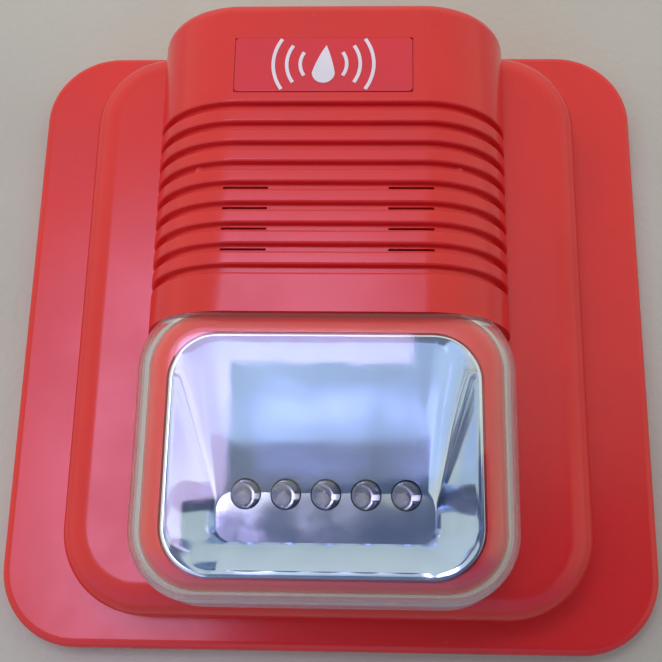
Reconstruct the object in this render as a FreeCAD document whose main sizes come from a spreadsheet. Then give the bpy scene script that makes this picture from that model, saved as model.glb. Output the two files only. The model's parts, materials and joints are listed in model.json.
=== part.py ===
"""Horn strobe: a wall-mounted fire-alarm sounder with an LED strobe, in millimetres.

+Z points out of the wall, +Y to the label end, and the origin is the middle of the back plane.
The front unit lifts straight off a wall plate, which carries the wiring terminals.
"""
import FreeCAD, Part
import Sketcher
import math
import os
import re

doc = FreeCAD.newDocument("horn_strobe")
vector = FreeCAD.Vector

# ---------------------------------------------------------------------------
# Driving dimensions
# ---------------------------------------------------------------------------
SIZES = {
    # housing
    "flange_width": 120.0,
    "flange_corner": 14.4,
    "flange_thick": 5.0,
    "flange_edge": 1.6,
    "plateau_width": 94.0,
    "plateau_length": 109.0,
    "plateau_corner": 15.0,
    "plateau_top": 17.0,
    "plateau_edge": 5.5,
    "dome_width": 65.2,
    "dome_top": 34.0,
    "dome_round": 16.0,
    "dome_low": -5.7,
    "dome_edge": 3.2,
    "wall": 2.5,
    "past": 0.5,
    "screw_space": 0.3,
    # sound grooves across the dome, and the slots in some of them
    "groove_first": 33.5,
    "groove_pitch": 3.85,
    "groove_count": 9.0,
    "groove_width": 1.45,
    "groove_depth": 1.3,
    "groove_edge": 0.4,
    "groove_foot": 0.6,
    "slot_length": 8.0,
    "slot_width": 0.45,
    "slot_spacing": 29.0,
    "slot_round": 0.45,
    "slot_row_first": 5.0,
    "slot_row_last": 8.0,
    # label
    "label_width": 32.0,
    "label_height": 10.8,
    "label_shift": -1.2,
    "label_level": 40.9,
    "label_thick": 0.7,
    "label_sunk": 0.5,
    "label_gap": 0.1,
    "mark_thick": 0.12,
    "mark_height": 7.6,
    "flame_share": 0.27,
    "arc_first": 0.55,
    "arc_step": 0.32,
    "arc_width": 0.63,
    "arc_spread": 34.0,
    "arc_count": 3.0,
    # lens and the seat under it
    "lens_width": 64.4,
    "lens_high": -2.2,
    "lens_end": -6.0,
    "lens_low": -53.2,
    "lens_top": 35.0,
    "lens_corner": 12.0,
    "lens_edge": 8.0,
    "lens_wall": 1.8,
    "lens_gap": 0.3,
    "seat_top": 31.6,
    "seat_edge": 4.0,
    # reflector
    "rim_width": 52.0,
    "rim_length": 40.0,
    "rim_margin": 2.0,
    "rim_thick": 1.2,
    "rim_corner": 8.0,
    "rim_face": 2.2,
    "basin_wall": 1.2,
    "basin_floor": 17.0,
    "floor_width": 38.0,
    "floor_length": 8.6,
    "floor_middle": -38.0,
    "floor_corner": 3.0,
    "post_spacing": 24.0,
    "post_level": -22.5,
    "post_radius": 2.4,
    "post_rise": 10.0,
    "hole_rise": 4.0,
    # strobe
    "led_count": 5.0,
    "led_pitch": 7.0,
    "led_level": -34.0,
    "led_radius": 2.5,
    "led_flange": 2.9,
    "led_flange_thick": 1.0,
    "led_height": 8.6,
    "led_gap": 0.2,
    "lead_width": 0.5,
    "lead_pitch": 2.54,
    "lead_length": 1.0,
    "nearly": 0.01,
    # wall plate
    "rim_wall": 3.0,
    "plate_gap": 0.3,
    "plate_thick": 2.0,
    "plate_corner": 11.0,
    "entry_width": 40.0,
    "entry_length": 26.0,
    "entry_corner": 4.0,
    "entry_level": -7.0,
    "box_screw_spacing": 83.34,
    "gang_spacing": 46.04,
    "box_screw_hole": 2.2,
    "tongue_width": 9.0,
    "tongue_thick": 1.2,
    "tongue_top": 8.0,
    "tongue_spacing": 50.0,
    # main board
    "board_level": 9.4,
    "board_thick": 1.6,
    "board_width": 86.0,
    "board_length": 100.0,
    "board_corner": 12.0,
    "board_screw_span": 76.0,
    "board_screw_reach": 90.0,
    "boss_radius": 3.2,
    "screw_radius": 1.25,
    "screw_gap": 0.15,
    "screw_head": 2.4,
    "screw_head_thick": 1.6,
    "screw_length": 5.0,
    "drive_reach": 1.2,
    "drive_width": 0.25,
    "drive_depth": 0.5,
    # wiring terminals
    "terminal_count": 4.0,
    "terminal_pitch": 9.5,
    "terminal_level": 19.0,
    "block_width": 39.0,
    "block_low": 12.5,
    "block_step": 25.5,
    "block_high": 33.0,
    "block_top": 12.6,
    "block_shelf": 7.6,
    "cell_width": 6.6,
    "cage_width": 6.0,
    "cage_length": 6.0,
    "cage_wall": 0.8,
    "cage_height": 5.5,
    "cage_level": 2.7,
    "cage_gap": 0.3,
    "strip_thick": 0.8,
    "tight_gap": 0.1,
    "strip_width": 3.4,
    "clamp_radius": 1.75,
    "clamp_gap": 0.2,
    "clamp_head": 2.8,
    "clamp_head_thick": 1.8,
    "clamp_head_level": 10.6,
    "block_screw_level": 29.3,
    "block_screw_spacing": 33.0,
    "window_gap": 1.2,
    "window_corner": 1.5,
    "pin_room": 0.4,
    "mouth_extra": 1.0,
    # plug-in connection
    "pin_width": 0.8,
    "pin_pitch": 5.08,
    "pin_level": 30.0,
    "pin_tip": 3.4,
    "pin_gap": 0.35,
    "header_length": 2.6,
    "header_height": 1.5,
    # sounder
    "sounder_level": 20.3,
    "sounder_radius": 17.0,
    "sounder_wall": 1.6,
    "seal_thick": 1.8,
    "seal_width": 3.0,
    "cup_height": 6.2,
    "cup_face": 1.2,
    "port_radius": 2.0,
    "port_circle": 7.0,
    "port_count": 6.0,
    "disc_thick": 0.3,
    "disc_ledge": 1.2,
    "ceramic_radius": 11.5,
    "ceramic_thick": 0.3,
    "cover_height": 3.4,
    "cover_face": 1.4,
    "ear_span": 41.5,
    "ear_radius": 3.0,
    "ear_thick": 2.0,
    "lead_radius": 0.6,
    "lead_spacing": 6.0,
    "lead_gap": 0.2,
    "lead_exit": 7.0,
    "lead_foot": 0.5,
    # board components
    "can_radius": 4.8,
    "can_height": 16.0,
    "can_bead": 0.3,
    "can_bead_face": 0.4,
    "can_bead_level": 1.6,
    "can_shift": -14.0,
    "can_spacing": 12.0,
    "can_level": 45.0,
    "core_share": 0.5,
    "winding_share": 0.93,
    "winding_gap": 0.05,
    "transformer_shift": 8.0,
    "transformer_level": 45.0,
    "transformer_radius": 6.0,
    "transformer_height": 9.0,
    "transformer_cheek": 1.0,
    "inductor_shift": -23.5,
    "inductor_level": 33.0,
    "inductor_radius": 5.0,
    "inductor_height": 5.6,
    "inductor_cheek": 0.8,
    "chip_shift": 36.0,
    "chip_level": -12.0,
    "chip_width": 7.5,
    "chip_length": 12.8,
    "chip_height": 2.3,
    "chip_lift": 0.2,
    "wing_count": 10.0,
    "wing_pitch": 1.27,
    "wing_reach": 0.55,
    "wing_foot": 1.1,
    "wing_width": 0.42,
    "wing_thick": 0.25,
    "wing_rise": 1.5,
    "driver_shift": -35.0,
    "driver_level": -20.0,
    "driver_spacing": 12.0,
    "driver_width": 6.6,
    "driver_length": 6.1,
    "driver_height": 2.2,
    "driver_lift": 0.15,
    "tab_width": 5.3,
    "tab_length": 1.8,
    "tab_thick": 0.5,
    "leg_spacing": 4.56,
    "leg_length": 2.2,
    "leg_width": 0.8,
    "diode_shift": 37.0,
    "diode_level": 27.0,
    "diode_pitch": 6.0,
    "diode_width": 2.6,
    "diode_length": 4.0,
    "diode_height": 2.1,
    "diode_cap": 0.5,
    "diode_cap_width": 1.5,
    "diode_cap_height": 1.2,
    "varistor_shift": 21.0,
    "varistor_level": 48.0,
    "varistor_radius": 4.2,
    "varistor_thick": 3.2,
    "varistor_lift": 0.2,
    "small_pitch": 3.2,
    "row_left": -37.0,
    "row_right": 26.0,
    "row_count": 4.0,
    "divider_count": 5.0,
    "resistor_level": 8.0,
    "divider_level": 2.5,
    "decoupler_level": 2.0,
    "filter_level": -24.0,
    "resistor_width": 1.25,
    "resistor_length": 2.0,
    "resistor_height": 0.6,
    "ceramic_width": 1.6,
    "ceramic_length": 3.2,
    "ceramic_height": 1.2,
    # setting switches on the back of the board
    "dip_count": 3.0,
    "dip_pitch": 2.54,
    "dip_width": 9.9,
    "dip_length": 6.2,
    "dip_height": 5.0,
    "dip_shift": -30.0,
    "dip_level": -6.0,
    "dip_travel": 1.6,
    "knob_width": 1.2,
    "knob_gap": 0.2,
    "knob_proud": 0.9,
    "knob_depth": 2.2,
    "light_length": 15.0,
    "light_width": 5.6,
    "light_height": 4.8,
    "light_shift": 30.0,
    "light_level": -6.0,
    "light_travel": 6.0,
    "light_knob": 2.0,
}

sheet = doc.addObject("Spreadsheet::Sheet", "Sizes")
for row, (alias, number) in enumerate(SIZES.items(), start=1):
    sheet.set("A%d" % row, alias)
    sheet.set("B%d" % row, repr(number))
    sheet.setAlias("B%d" % row, alias)
doc.recompute()


# ---------------------------------------------------------------------------
# Helpers
# ---------------------------------------------------------------------------
SUBPARTS = []


def formula(text):
    """Write an expression on the sheet's words as FreeCAD wants it."""
    def qualify(match):
        word = match.group()
        return "Sizes." + word if word in SIZES else word
    return re.sub(r"[a-z][a-z_]+", qualify, str(text))


def value(text):
    """The number that an expression on the sheet's words has now."""
    return float(sheet.evalExpression(formula(text)))


def bind(item, path, text):
    item.setExpression(path, formula(text))


def bind_base(item, x, y, z):
    bind(item, "Placement.Base.x", x)
    bind(item, "Placement.Base.y", y)
    bind(item, "Placement.Base.z", z)


def subpart(item, label):
    """Name a finished sub-part and keep it for the export."""
    item.Label = label
    SUBPARTS.append(item)
    doc.recompute()
    return item


def new_body(name):
    return doc.addObject("PartDesign::Body", name)


def new_sketch(body, name, role, level):
    """A sketch on one of the body's own origin planes, raised by level along its normal."""
    planes = [plane for plane in body.Origin.OriginFeatures if plane.Role == role]
    sketch = body.newObject("Sketcher::SketchObject", name)
    sketch.AttachmentSupport = [(planes[0], "")]
    sketch.MapMode = "FlatFace"
    bind(sketch, "AttachmentOffset.Base.z", level)
    return sketch


def pin_point(sketch, geometry, point, x, y):
    """Fix one point of a sketch at x, y."""
    for kind, text in (("DistanceX", x), ("DistanceY", y)):
        index = sketch.addConstraint(Sketcher.Constraint(kind, -1, 1, geometry, point, value(text)))
        bind(sketch, "Constraints[%d]" % index, text)


def unit_step(start, end):
    """The direction of an upright or level run, as two whole numbers."""
    run = (end[0] - start[0], end[1] - start[1])
    reach = max(abs(run[0]), abs(run[1]))
    return round(run[0] / reach), round(run[1] / reach)


def outline(body, name, corners, role="XY_Plane", level="0"):
    """A closed outline through corners (x, y) or (x, y, radius), all given as expressions.

    Runs beside a rounded corner are level or upright.
    """
    sketch = new_sketch(body, name, role, level)
    points = [(value(corner[0]), value(corner[1])) for corner in corners]
    starts = []
    ends = []
    arcs = []
    for place, corner in enumerate(corners):
        here = points[place]
        if len(corner) == 2:
            starts.append(vector(here[0], here[1], 0))
            ends.append(vector(here[0], here[1], 0))
            arcs.append(None)
            continue
        radius = value(corner[2])
        come = unit_step(points[place - 1], here)
        go = unit_step(here, points[(place + 1) % len(points)])
        turn = (go[0] - come[0], go[1] - come[1])
        centre = (here[0] + turn[0] * radius, here[1] + turn[1] * radius)
        starts.append(vector(here[0] - come[0] * radius, here[1] - come[1] * radius, 0))
        ends.append(vector(here[0] + go[0] * radius, here[1] + go[1] * radius, 0))
        arcs.append((centre, radius, turn, come[0] * go[1] - come[1] * go[0]))
    lines = []
    for place in range(len(points)):
        after = (place + 1) % len(points)
        lines.append(sketch.addGeometry(Part.LineSegment(ends[place], starts[after]), False))
    for place, corner in enumerate(corners):
        before = lines[place - 1]
        after = lines[place]
        if arcs[place] is None:
            sketch.addConstraint(Sketcher.Constraint("Coincident", before, 2, after, 1))
            pin_point(sketch, after, 1, corner[0], corner[1])
            continue
        centre, radius, turn, side = arcs[place]
        circle = Part.Circle(vector(centre[0], centre[1], 0), vector(0, 0, 1), radius)
        first, last = (starts[place], ends[place]) if side > 0 else (ends[place], starts[place])
        angles = [math.atan2(spot.y - centre[1], spot.x - centre[0]) for spot in (first, last)]
        if angles[1] < angles[0]:
            angles[1] += 2 * math.pi
        arc = sketch.addGeometry(Part.ArcOfCircle(circle, angles[0], angles[1]), False)
        first_end, last_end = (1, 2) if side > 0 else (2, 1)
        sketch.addConstraint(Sketcher.Constraint("Tangent", before, 2, arc, first_end))
        sketch.addConstraint(Sketcher.Constraint("Tangent", arc, last_end, after, 1))
        pin_point(sketch, arc, 3, "(%s) + %d * (%s)" % (corner[0], turn[0], corner[2]),
                  "(%s) + %d * (%s)" % (corner[1], turn[1], corner[2]))
        index = sketch.addConstraint(Sketcher.Constraint("Radius", arc, radius))
        bind(sketch, "Constraints[%d]" % index, corner[2])
    return sketch


def rectangle(width, length, corner=None, x="0", y="0"):
    """The corners of a rectangle centred on x, y, counter-clockwise."""
    corners = []
    for side_x, side_y in ((-1, -1), (1, -1), (1, 1), (-1, 1)):
        spot = ("(%s) + %d * (%s) / 2" % (x, side_x, width), "(%s) + %d * (%s) / 2" % (y, side_y, length))
        corners.append(spot if corner is None else spot + (corner,))
    return corners


def circles(body, name, radius, places, role="XY_Plane", level="0"):
    """A sketch of equal circles at the given places."""
    sketch = new_sketch(body, name, role, level)
    for x, y in places:
        circle = Part.Circle(vector(value(x), value(y), 0), vector(0, 0, 1), value(radius))
        index = sketch.addGeometry(circle, False)
        pin_point(sketch, index, 3, x, y)
        size = sketch.addConstraint(Sketcher.Constraint("Radius", index, value(radius)))
        bind(sketch, "Constraints[%d]" % size, radius)
    return sketch


def extrude(body, kind, sketch, length, flip):
    feature = body.newObject(kind, sketch.Name + "_" + kind.split("::")[1].lower())
    feature.Profile = sketch
    feature.Reversed = flip
    bind(feature, "Length", length)
    sketch.Visibility = False
    return feature


def pad(body, sketch, length, flip=False):
    """Add material along the sketch's normal, or against it when flip is set."""
    feature = extrude(body, "PartDesign::Pad", sketch, length, flip)
    doc.recompute()
    return feature


def cut(body, sketch, length, flip=False):
    """Remove material against the sketch's normal, or along it when flip is set."""
    before = body.Shape.Volume
    feature = extrude(body, "PartDesign::Pocket", sketch, length, flip)
    doc.recompute()
    if not feature.Shape.Volume < before - 1e-6:
        raise RuntimeError("%s cuts nothing" % feature.Name)
    return feature


def round_edges(body, name, radius, chosen):
    """Fillet the edges of the body's tip that the chosen function picks."""
    base = body.Tip
    names = ["Edge%d" % number for number, edge in enumerate(base.Shape.Edges, start=1) if chosen(edge)]
    feature = body.newObject("PartDesign::Fillet", name)
    feature.Base = (base, names)
    bind(feature, "Radius", radius)
    doc.recompute()
    return feature


def flat_at(level, tolerance=1e-3):
    """A test for edges that lie wholly at one height."""
    height = value(level)

    def chosen(edge):
        box = edge.BoundBox
        return abs(box.ZMin - height) < tolerance and abs(box.ZMax - height) < tolerance
    return chosen


def repeat_along(body, name, feature, role, length, count, flip=False):
    """Repeat a feature in a row along one of the body's own axes."""
    axes = [axis for axis in body.Origin.OriginFeatures if axis.Role == role]
    pattern = body.newObject("PartDesign::LinearPattern", name)
    pattern.Originals = [feature]
    pattern.Direction = (axes[0], [""])
    pattern.Reversed = flip
    bind(pattern, "Length", length)
    bind(pattern, "Occurrences", count)
    body.Tip = pattern
    doc.recompute()
    return pattern


def prism(name, corners, level, height, label=None):
    """A body that stands on level with one outline."""
    body = new_body(name)
    pad(body, outline(body, name + "_outline", corners), height)
    bind(body, "Placement.Base.z", level)
    if label:
        subpart(body, label)
    return body


def block(name, x, y, level, width, length, height):
    """A plain box, centred on x, y and standing on level."""
    item = doc.addObject("Part::Box", name)
    bind(item, "Length", width)
    bind(item, "Width", length)
    bind(item, "Height", height)
    bind_base(item, "(%s) - (%s) / 2" % (x, width), "(%s) - (%s) / 2" % (y, length), level)
    return item


def rod(name, x, y, level, radius, height):
    """A plain upright cylinder standing on level."""
    item = doc.addObject("Part::Cylinder", name)
    bind(item, "Radius", radius)
    bind(item, "Height", height)
    bind_base(item, x, y, level)
    return item


def minus(name, base, tool):
    item = doc.addObject("Part::Cut", name)
    item.Base = base
    item.Tool = tool
    return item


def joined(name, items):
    item = doc.addObject("Part::MultiFuse", name)
    item.Shapes = items
    item.Refine = True
    return item


def group(label, items):
    """Identical or matching solids that share one node."""
    item = doc.addObject("Part::Compound", label)
    item.Links = items
    return subpart(item, label)


def spots(count, pitch):
    """Places along a centred row, as expressions."""
    number = int(value(count))
    return ["(%s) * %s" % (pitch, index - (number - 1) / 2) for index in range(number)]


def four_corners(span, reach):
    return [("%d * (%s) / 2" % (side_x, span), "%d * (%s) / 2" % (side_y, reach))
            for side_x in (-1, 1) for side_y in (-1, 1)]


# ---------------------------------------------------------------------------
# Front housing
# ---------------------------------------------------------------------------
SEAT_WIDTH = "lens_width - 2 * lens_wall - 2 * lens_gap"
SEAT_LENGTH = "lens_high - lens_low - 2 * lens_wall - 2 * lens_gap"
SEAT_MIDDLE = "(lens_high + lens_low) / 2"
SEAT_CORNER = "lens_corner - lens_wall - lens_gap"
RIM_MIDDLE = "lens_low + lens_wall + lens_gap + rim_margin + rim_length / 2"
BASIN_WIDTH = "rim_width - 2 * rim_face"
BASIN_LENGTH = "rim_length - 2 * rim_face"
BASIN_CORNER = "rim_corner - rim_face"
BOARD_TOP = "board_level + board_thick"
CAVITY_TOP = "plateau_top - wall"
DOME_HIGH = "plateau_length / 2"
RECESS_WIDTH = "flange_width - 2 * rim_wall"
BOARD_SCREWS = four_corners("board_screw_span", "board_screw_reach")
EAR_PLACES = [("-ear_span / 2", "sounder_level"), ("ear_span / 2", "sounder_level")]
COVER_LEVEL = "dome_top - wall - seal_thick - cup_height - cover_height"
POST_PLACES = [("-post_spacing / 2", "post_level"), ("post_spacing / 2", "post_level")]


def arch(width, low, top, radius):
    """The corners of a cross-section with a flat base and two rounded shoulders."""
    half = "(%s) / 2" % width
    return [("-" + half, low), (half, low), (half, top, radius), ("-" + half, top, radius)]


def groove_band():
    """The corners of a strip that runs over the dome, groove_depth into its skin."""
    outside = "dome_width"
    high = "dome_top + dome_round"
    foot = "plateau_top + groove_foot"
    inside = "dome_width / 2 - groove_depth"
    depth_top = "dome_top - groove_depth"
    shoulder = "dome_round - groove_depth"
    return [("-" + outside, foot), ("-(%s)" % inside, foot), ("-(%s)" % inside, depth_top, shoulder),
            (inside, depth_top, shoulder), (inside, foot), (outside, foot), (outside, high),
            ("-" + outside, high)]


def make_dome():
    """The dome alone: a rounded section run along Y, its end softened and its grooves cut."""
    body = new_body("dome_shell")
    dome_foot = "plateau_top - plateau_edge - 1"
    pad(body, outline(body, "dome", arch("dome_width", dome_foot, "dome_top", "dome_round"),
                      "XZ_Plane", "-(%s)" % DOME_HIGH), "%s - dome_low" % DOME_HIGH)
    end = value(DOME_HIGH)

    def at_end(edge):
        box = edge.BoundBox
        return abs(box.YMin - end) < 1e-3 and box.ZMax > value(dome_foot) + 1
    round_edges(body, "dome_end_round", "dome_edge", at_end)
    groove = cut(body, outline(body, "groove", groove_band(), "XZ_Plane", "-groove_first"),
                 "groove_width", True)
    repeat_along(body, "grooves", groove, "Y_Axis", "groove_pitch * (groove_count - 1)",
                 "groove_count", True)
    round_edges(body, "groove_round", "groove_edge", groove_mouths(body.Tip.Shape))
    return body


def groove_mouths(shape):
    """A test for the edges where the grooves' walls meet the dome's skin."""
    first = value("groove_first")
    pitch = value("groove_pitch")
    width = value("groove_width")
    foot = value("plateau_top + groove_foot")
    sides = [first - pitch * step - part for step in range(int(value("groove_count"))) for part in (0, width)]
    half = value("dome_width / 2")
    shoulder = value("dome_round")
    top = value("dome_top")

    def on_skin(point):
        across = abs(point.x) - (half - shoulder)
        up = point.z - (top - shoulder)
        if across <= 0:
            return abs(point.z - top) < 1e-3
        if up <= 0:
            return abs(abs(point.x) - half) < 1e-3
        return abs(math.hypot(across, up) - shoulder) < 1e-3

    def chosen(edge):
        box = edge.BoundBox
        level = any(abs(box.YMin - side) < 1e-3 and abs(box.YMax - side) < 1e-3 for side in sides)
        middle = edge.valueAt((edge.FirstParameter + edge.LastParameter) / 2)
        return level and box.ZMax > foot and on_skin(middle)
    return chosen


def make_housing():
    body = new_body("front_housing")
    pad(body, outline(body, "flange", rectangle("flange_width", "flange_width", "flange_corner")),
        "flange_thick")
    round_edges(body, "flange_round", "flange_edge", flat_at("flange_thick"))
    pad(body, outline(body, "plateau", rectangle("plateau_width", "plateau_length", "plateau_corner")),
        "plateau_top")
    round_edges(body, "plateau_round", "plateau_edge", flat_at("plateau_top"))
    seat = rectangle(SEAT_WIDTH, SEAT_LENGTH, SEAT_CORNER, "0", SEAT_MIDDLE)
    pad(body, outline(body, "seat", seat, level="plateau_top - wall / 2"),
        "seat_top - plateau_top + wall / 2")
    round_edges(body, "seat_round", "seat_edge", flat_at("seat_top"))
    dome = make_dome()
    union = body.newObject("PartDesign::Boolean", "housing_with_dome")
    union.Type = "Fuse"
    union.setObjects([dome])
    doc.recompute()
    hollow_housing(body)
    add_bosses(body)
    subpart(body, "front_housing")


def hollow_housing(body):
    """Cut the inside, the reflector's seat, the sound slots and the label's recess."""
    inner = rectangle("plateau_width - 2 * wall", "plateau_length - 2 * wall", "plateau_corner - wall")
    cut(body, outline(body, "plateau_inside", inner), CAVITY_TOP, True)
    recess = rectangle(RECESS_WIDTH, RECESS_WIDTH, "plate_corner + plate_gap")
    cut(body, outline(body, "plate_recess", recess), "plate_thick + plate_gap", True)
    dome_inside = arch("dome_width - 2 * wall", "%s - 1" % CAVITY_TOP, "dome_top - wall", "dome_round - wall")
    cut(body, outline(body, "dome_inside", dome_inside, "XZ_Plane", "-(%s - wall)" % DOME_HIGH),
        "%s - dome_low - 2 * wall" % DOME_HIGH, True)
    rim = rectangle("rim_width + 2 * plate_gap", "rim_length + 2 * plate_gap",
                    "rim_corner + plate_gap", "0", RIM_MIDDLE)
    cut(body, outline(body, "rim_recess", rim, level="seat_top"), "rim_thick")
    opening = rectangle("(%s) + 2 * basin_wall + 2 * plate_gap" % BASIN_WIDTH,
                        "(%s) + 2 * basin_wall + 2 * plate_gap" % BASIN_LENGTH,
                        "%s + basin_wall + plate_gap" % BASIN_CORNER, "0", RIM_MIDDLE)
    cut(body, outline(body, "basin_opening", opening, level="seat_top - rim_thick"),
        "seat_top - rim_thick - (%s) + past" % CAVITY_TOP)
    inside = rectangle("(%s) - 2 * wall" % SEAT_WIDTH, "(%s) - 2 * wall" % SEAT_LENGTH,
                       "%s - wall" % SEAT_CORNER, "0", SEAT_MIDDLE)
    cut(body, outline(body, "seat_inside", inside, level="seat_top - rim_thick - wall"),
        "seat_top - rim_thick - wall - (%s) + past" % CAVITY_TOP)
    recess = rectangle("label_width + 2 * label_gap", "label_height + 2 * label_gap", None,
                       "label_shift", "label_level")
    cut(body, outline(body, "label_recess", recess, level="dome_top"), "label_sunk")
    cut_slots(body)


def cut_slots(body):
    """Two columns of sound slots, at the bottom of some of the grooves."""
    rows = "slot_row_last - slot_row_first"
    first_row = "groove_first - groove_width / 2 - groove_pitch * (slot_row_first - 1)"
    for side, label in (("-", "left"), ("", "right")):
        slot = rectangle("slot_length", "slot_width", "slot_width * slot_round", side + "slot_spacing / 2",
                         first_row)
        opened = cut(body, outline(body, "slots_" + label, slot, level="dome_top"), "wall + past")
        repeat_along(body, "slot_rows_" + label, opened, "Y_Axis", "groove_pitch * (%s)" % rows,
                     "%s + 1" % rows, True)


def add_bosses(body):
    """Screw bosses for the board, under the plateau, and for the sounder, inside the dome."""
    pad(body, circles(body, "board_bosses", "boss_radius", BOARD_SCREWS, level=BOARD_TOP),
        "plateau_top - wall / 2 - (%s)" % BOARD_TOP)
    ear_top = "%s + ear_thick" % COVER_LEVEL
    pad(body, circles(body, "sounder_bosses", "ear_radius", EAR_PLACES, level=ear_top),
        "dome_top - wall - (%s)" % ear_top)
    cut(body, circles(body, "board_screw_holes", "screw_radius + screw_gap", BOARD_SCREWS, level=BOARD_TOP),
        "screw_length - board_thick + screw_space", True)
    cut(body, circles(body, "sounder_screw_holes", "screw_radius + screw_gap", EAR_PLACES, level=ear_top),
        "screw_length - ear_thick + screw_space", True)


# ---------------------------------------------------------------------------
# Label with a plain mark: a flame between sound arcs
# ---------------------------------------------------------------------------
def make_label():
    corners = rectangle("label_width", "label_height", None, "label_shift", "label_level")
    prism("label_plate", corners, "dome_top - label_sunk", "label_thick", "label_plate")
    level = value("dome_top - label_sunk + label_thick")
    thick = value("mark_thick")
    high = value("mark_height")
    centre = vector(value("label_shift"), value("label_level"), level)
    pieces = [flame(centre, high, thick)]
    for side in (-1, 1):
        for step in range(int(value("arc_count"))):
            reach = high * value("arc_first + %d * arc_step" % step)
            pieces.append(sound_arc(centre, side, reach, value("arc_width"), thick))
    mark = doc.addObject("Part::Feature", "label_mark")
    mark.Shape = Part.makeCompound(pieces)
    subpart(mark, "label_mark")


def flame(centre, high, thick):
    """A teardrop flame: half a circle below, two curves that meet in a point above."""
    radius = high * value("flame_share")
    middle = centre + vector(0, radius - high / 2, 0)
    left = middle + vector(-radius, 0, 0)
    right = middle + vector(radius, 0, 0)
    tip = centre + vector(radius * 0.25, high / 2, 0)
    bowl = Part.Arc(left, middle + vector(0, -radius, 0), right).toShape()
    rise = Part.Arc(right, middle + vector(radius * 0.82, radius * 0.9, 0), tip).toShape()
    fall = Part.Arc(tip, middle + vector(-radius * 0.62, radius * 1.05, 0), left).toShape()
    face = Part.Face(Part.Wire([bowl, rise, fall]))
    return face.extrude(vector(0, 0, thick))


def sound_arc(centre, side, radius, width, thick):
    """A curved bar, part of a ring about the flame."""
    spread = math.radians(value("arc_spread"))
    corners = []
    for reach in (radius - width / 2, radius + width / 2):
        for angle in (-spread, 0, spread):
            corners.append(centre + vector(side * reach * math.cos(angle), reach * math.sin(angle), 0))
    inner = Part.Arc(*corners[:3]).toShape()
    outer = Part.Arc(*corners[3:]).toShape()
    far = Part.LineSegment(corners[2], corners[5]).toShape()
    near = Part.LineSegment(corners[3], corners[0]).toShape()
    face = Part.Face(Part.Wire(Part.__sortEdges__([inner, far, outer, near])))
    return face.extrude(vector(0, 0, thick))


# ---------------------------------------------------------------------------
# Lens, reflector and strobe LEDs
# ---------------------------------------------------------------------------
def rounded_block(name, width, low, high, corner, height, edge):
    """A block with rounded corners and a rounded top edge, from low to high along Y, standing at 0."""
    body = new_body(name)
    plan = rectangle(width, "(%s) - (%s)" % (high, low), corner, "0", "((%s) + (%s)) / 2" % (high, low))
    pad(body, outline(body, name + "_plan", plan), height)
    round_edges(body, name + "_round", edge, flat_at(height))
    return body


def make_lens():
    """A clear cap, open below, with its upper end cut off square and open where it meets the dome."""
    height = "lens_top - plateau_top"
    body = rounded_block("lens", "lens_width", "lens_low", "lens_high", "lens_corner", height, "lens_edge")
    past = "lens_high - lens_end"
    end = rectangle("lens_width + 2 * lens_wall", "2 * (%s)" % past, None, "0", "lens_end + %s" % past)
    cut(body, outline(body, "lens_end_cut", end, level=height), height)
    hollow = rounded_block("lens_hollow", "lens_width - 2 * lens_wall", "lens_low + lens_wall",
                           "lens_high - lens_wall", "lens_corner - lens_wall", "%s - lens_wall" % height,
                           "lens_edge - lens_wall")
    opened = body.newObject("PartDesign::Boolean", "lens_opened")
    opened.Type = "Cut"
    opened.setObjects([hollow])
    bind(body, "Placement.Base.z", "plateau_top")
    subpart(body, "lens")


def loft(body, name, kind, sections):
    feature = body.newObject(kind, name)
    feature.Profile = sections[0]
    feature.Sections = sections[1:]
    feature.Ruled = True
    doc.recompute()
    return feature


def make_reflector():
    """A deep basin with a flat rim: its long upper wall slopes down to the LEDs' row."""
    body = new_body("reflector")
    rim = rectangle("rim_width", "rim_length", "rim_corner", "0", RIM_MIDDLE)
    pad(body, outline(body, "rim", rim, level="seat_top - rim_thick"), "rim_thick")
    under = "basin_floor - basin_wall"
    top_outer = outline(body, "basin_top_outer",
                        rectangle("(%s) + 2 * basin_wall" % BASIN_WIDTH,
                                  "(%s) + 2 * basin_wall" % BASIN_LENGTH,
                                  "%s + basin_wall" % BASIN_CORNER, "0", RIM_MIDDLE),
                        level="seat_top - rim_thick / 2")
    floor_outer = outline(body, "basin_floor_outer",
                          rectangle("floor_width + 2 * basin_wall", "floor_length + 2 * basin_wall",
                                    "floor_corner + basin_wall", "0", "floor_middle"), level=under)
    loft(body, "basin_outside", "PartDesign::AdditiveLoft", [top_outer, floor_outer])
    pad(body, circles(body, "posts", "post_radius", POST_PLACES, level=BOARD_TOP),
        "basin_floor + post_rise - (%s)" % BOARD_TOP)
    top_inner = outline(body, "basin_top_inner",
                        rectangle(BASIN_WIDTH, BASIN_LENGTH, BASIN_CORNER, "0", RIM_MIDDLE), level="seat_top")
    floor_inner = outline(body, "basin_floor_inner",
                          rectangle("floor_width", "floor_length", "floor_corner", "0", "floor_middle"),
                          level="basin_floor")
    loft(body, "basin_inside", "PartDesign::SubtractiveLoft", [top_inner, floor_inner])
    holes = [(place, "led_level") for place in spots("led_count", "led_pitch")]
    cut(body, circles(body, "led_holes", "led_radius + led_gap", holes, level="basin_floor + hole_rise"),
        "basin_wall + hole_rise + 2 * past")
    cut(body, circles(body, "post_holes", "screw_radius + screw_gap", POST_PLACES, level=BOARD_TOP),
        "screw_length - board_thick + screw_space", True)
    subpart(body, "reflector")


def revolve(body, sketch, name):
    axes = [axis for axis in body.Origin.OriginFeatures if axis.Role == "Z_Axis"]
    feature = body.newObject("PartDesign::Revolution", name)
    feature.Profile = sketch
    feature.ReferenceAxis = (axes[0], [""])
    feature.Angle = 360
    doc.recompute()
    return feature


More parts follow.
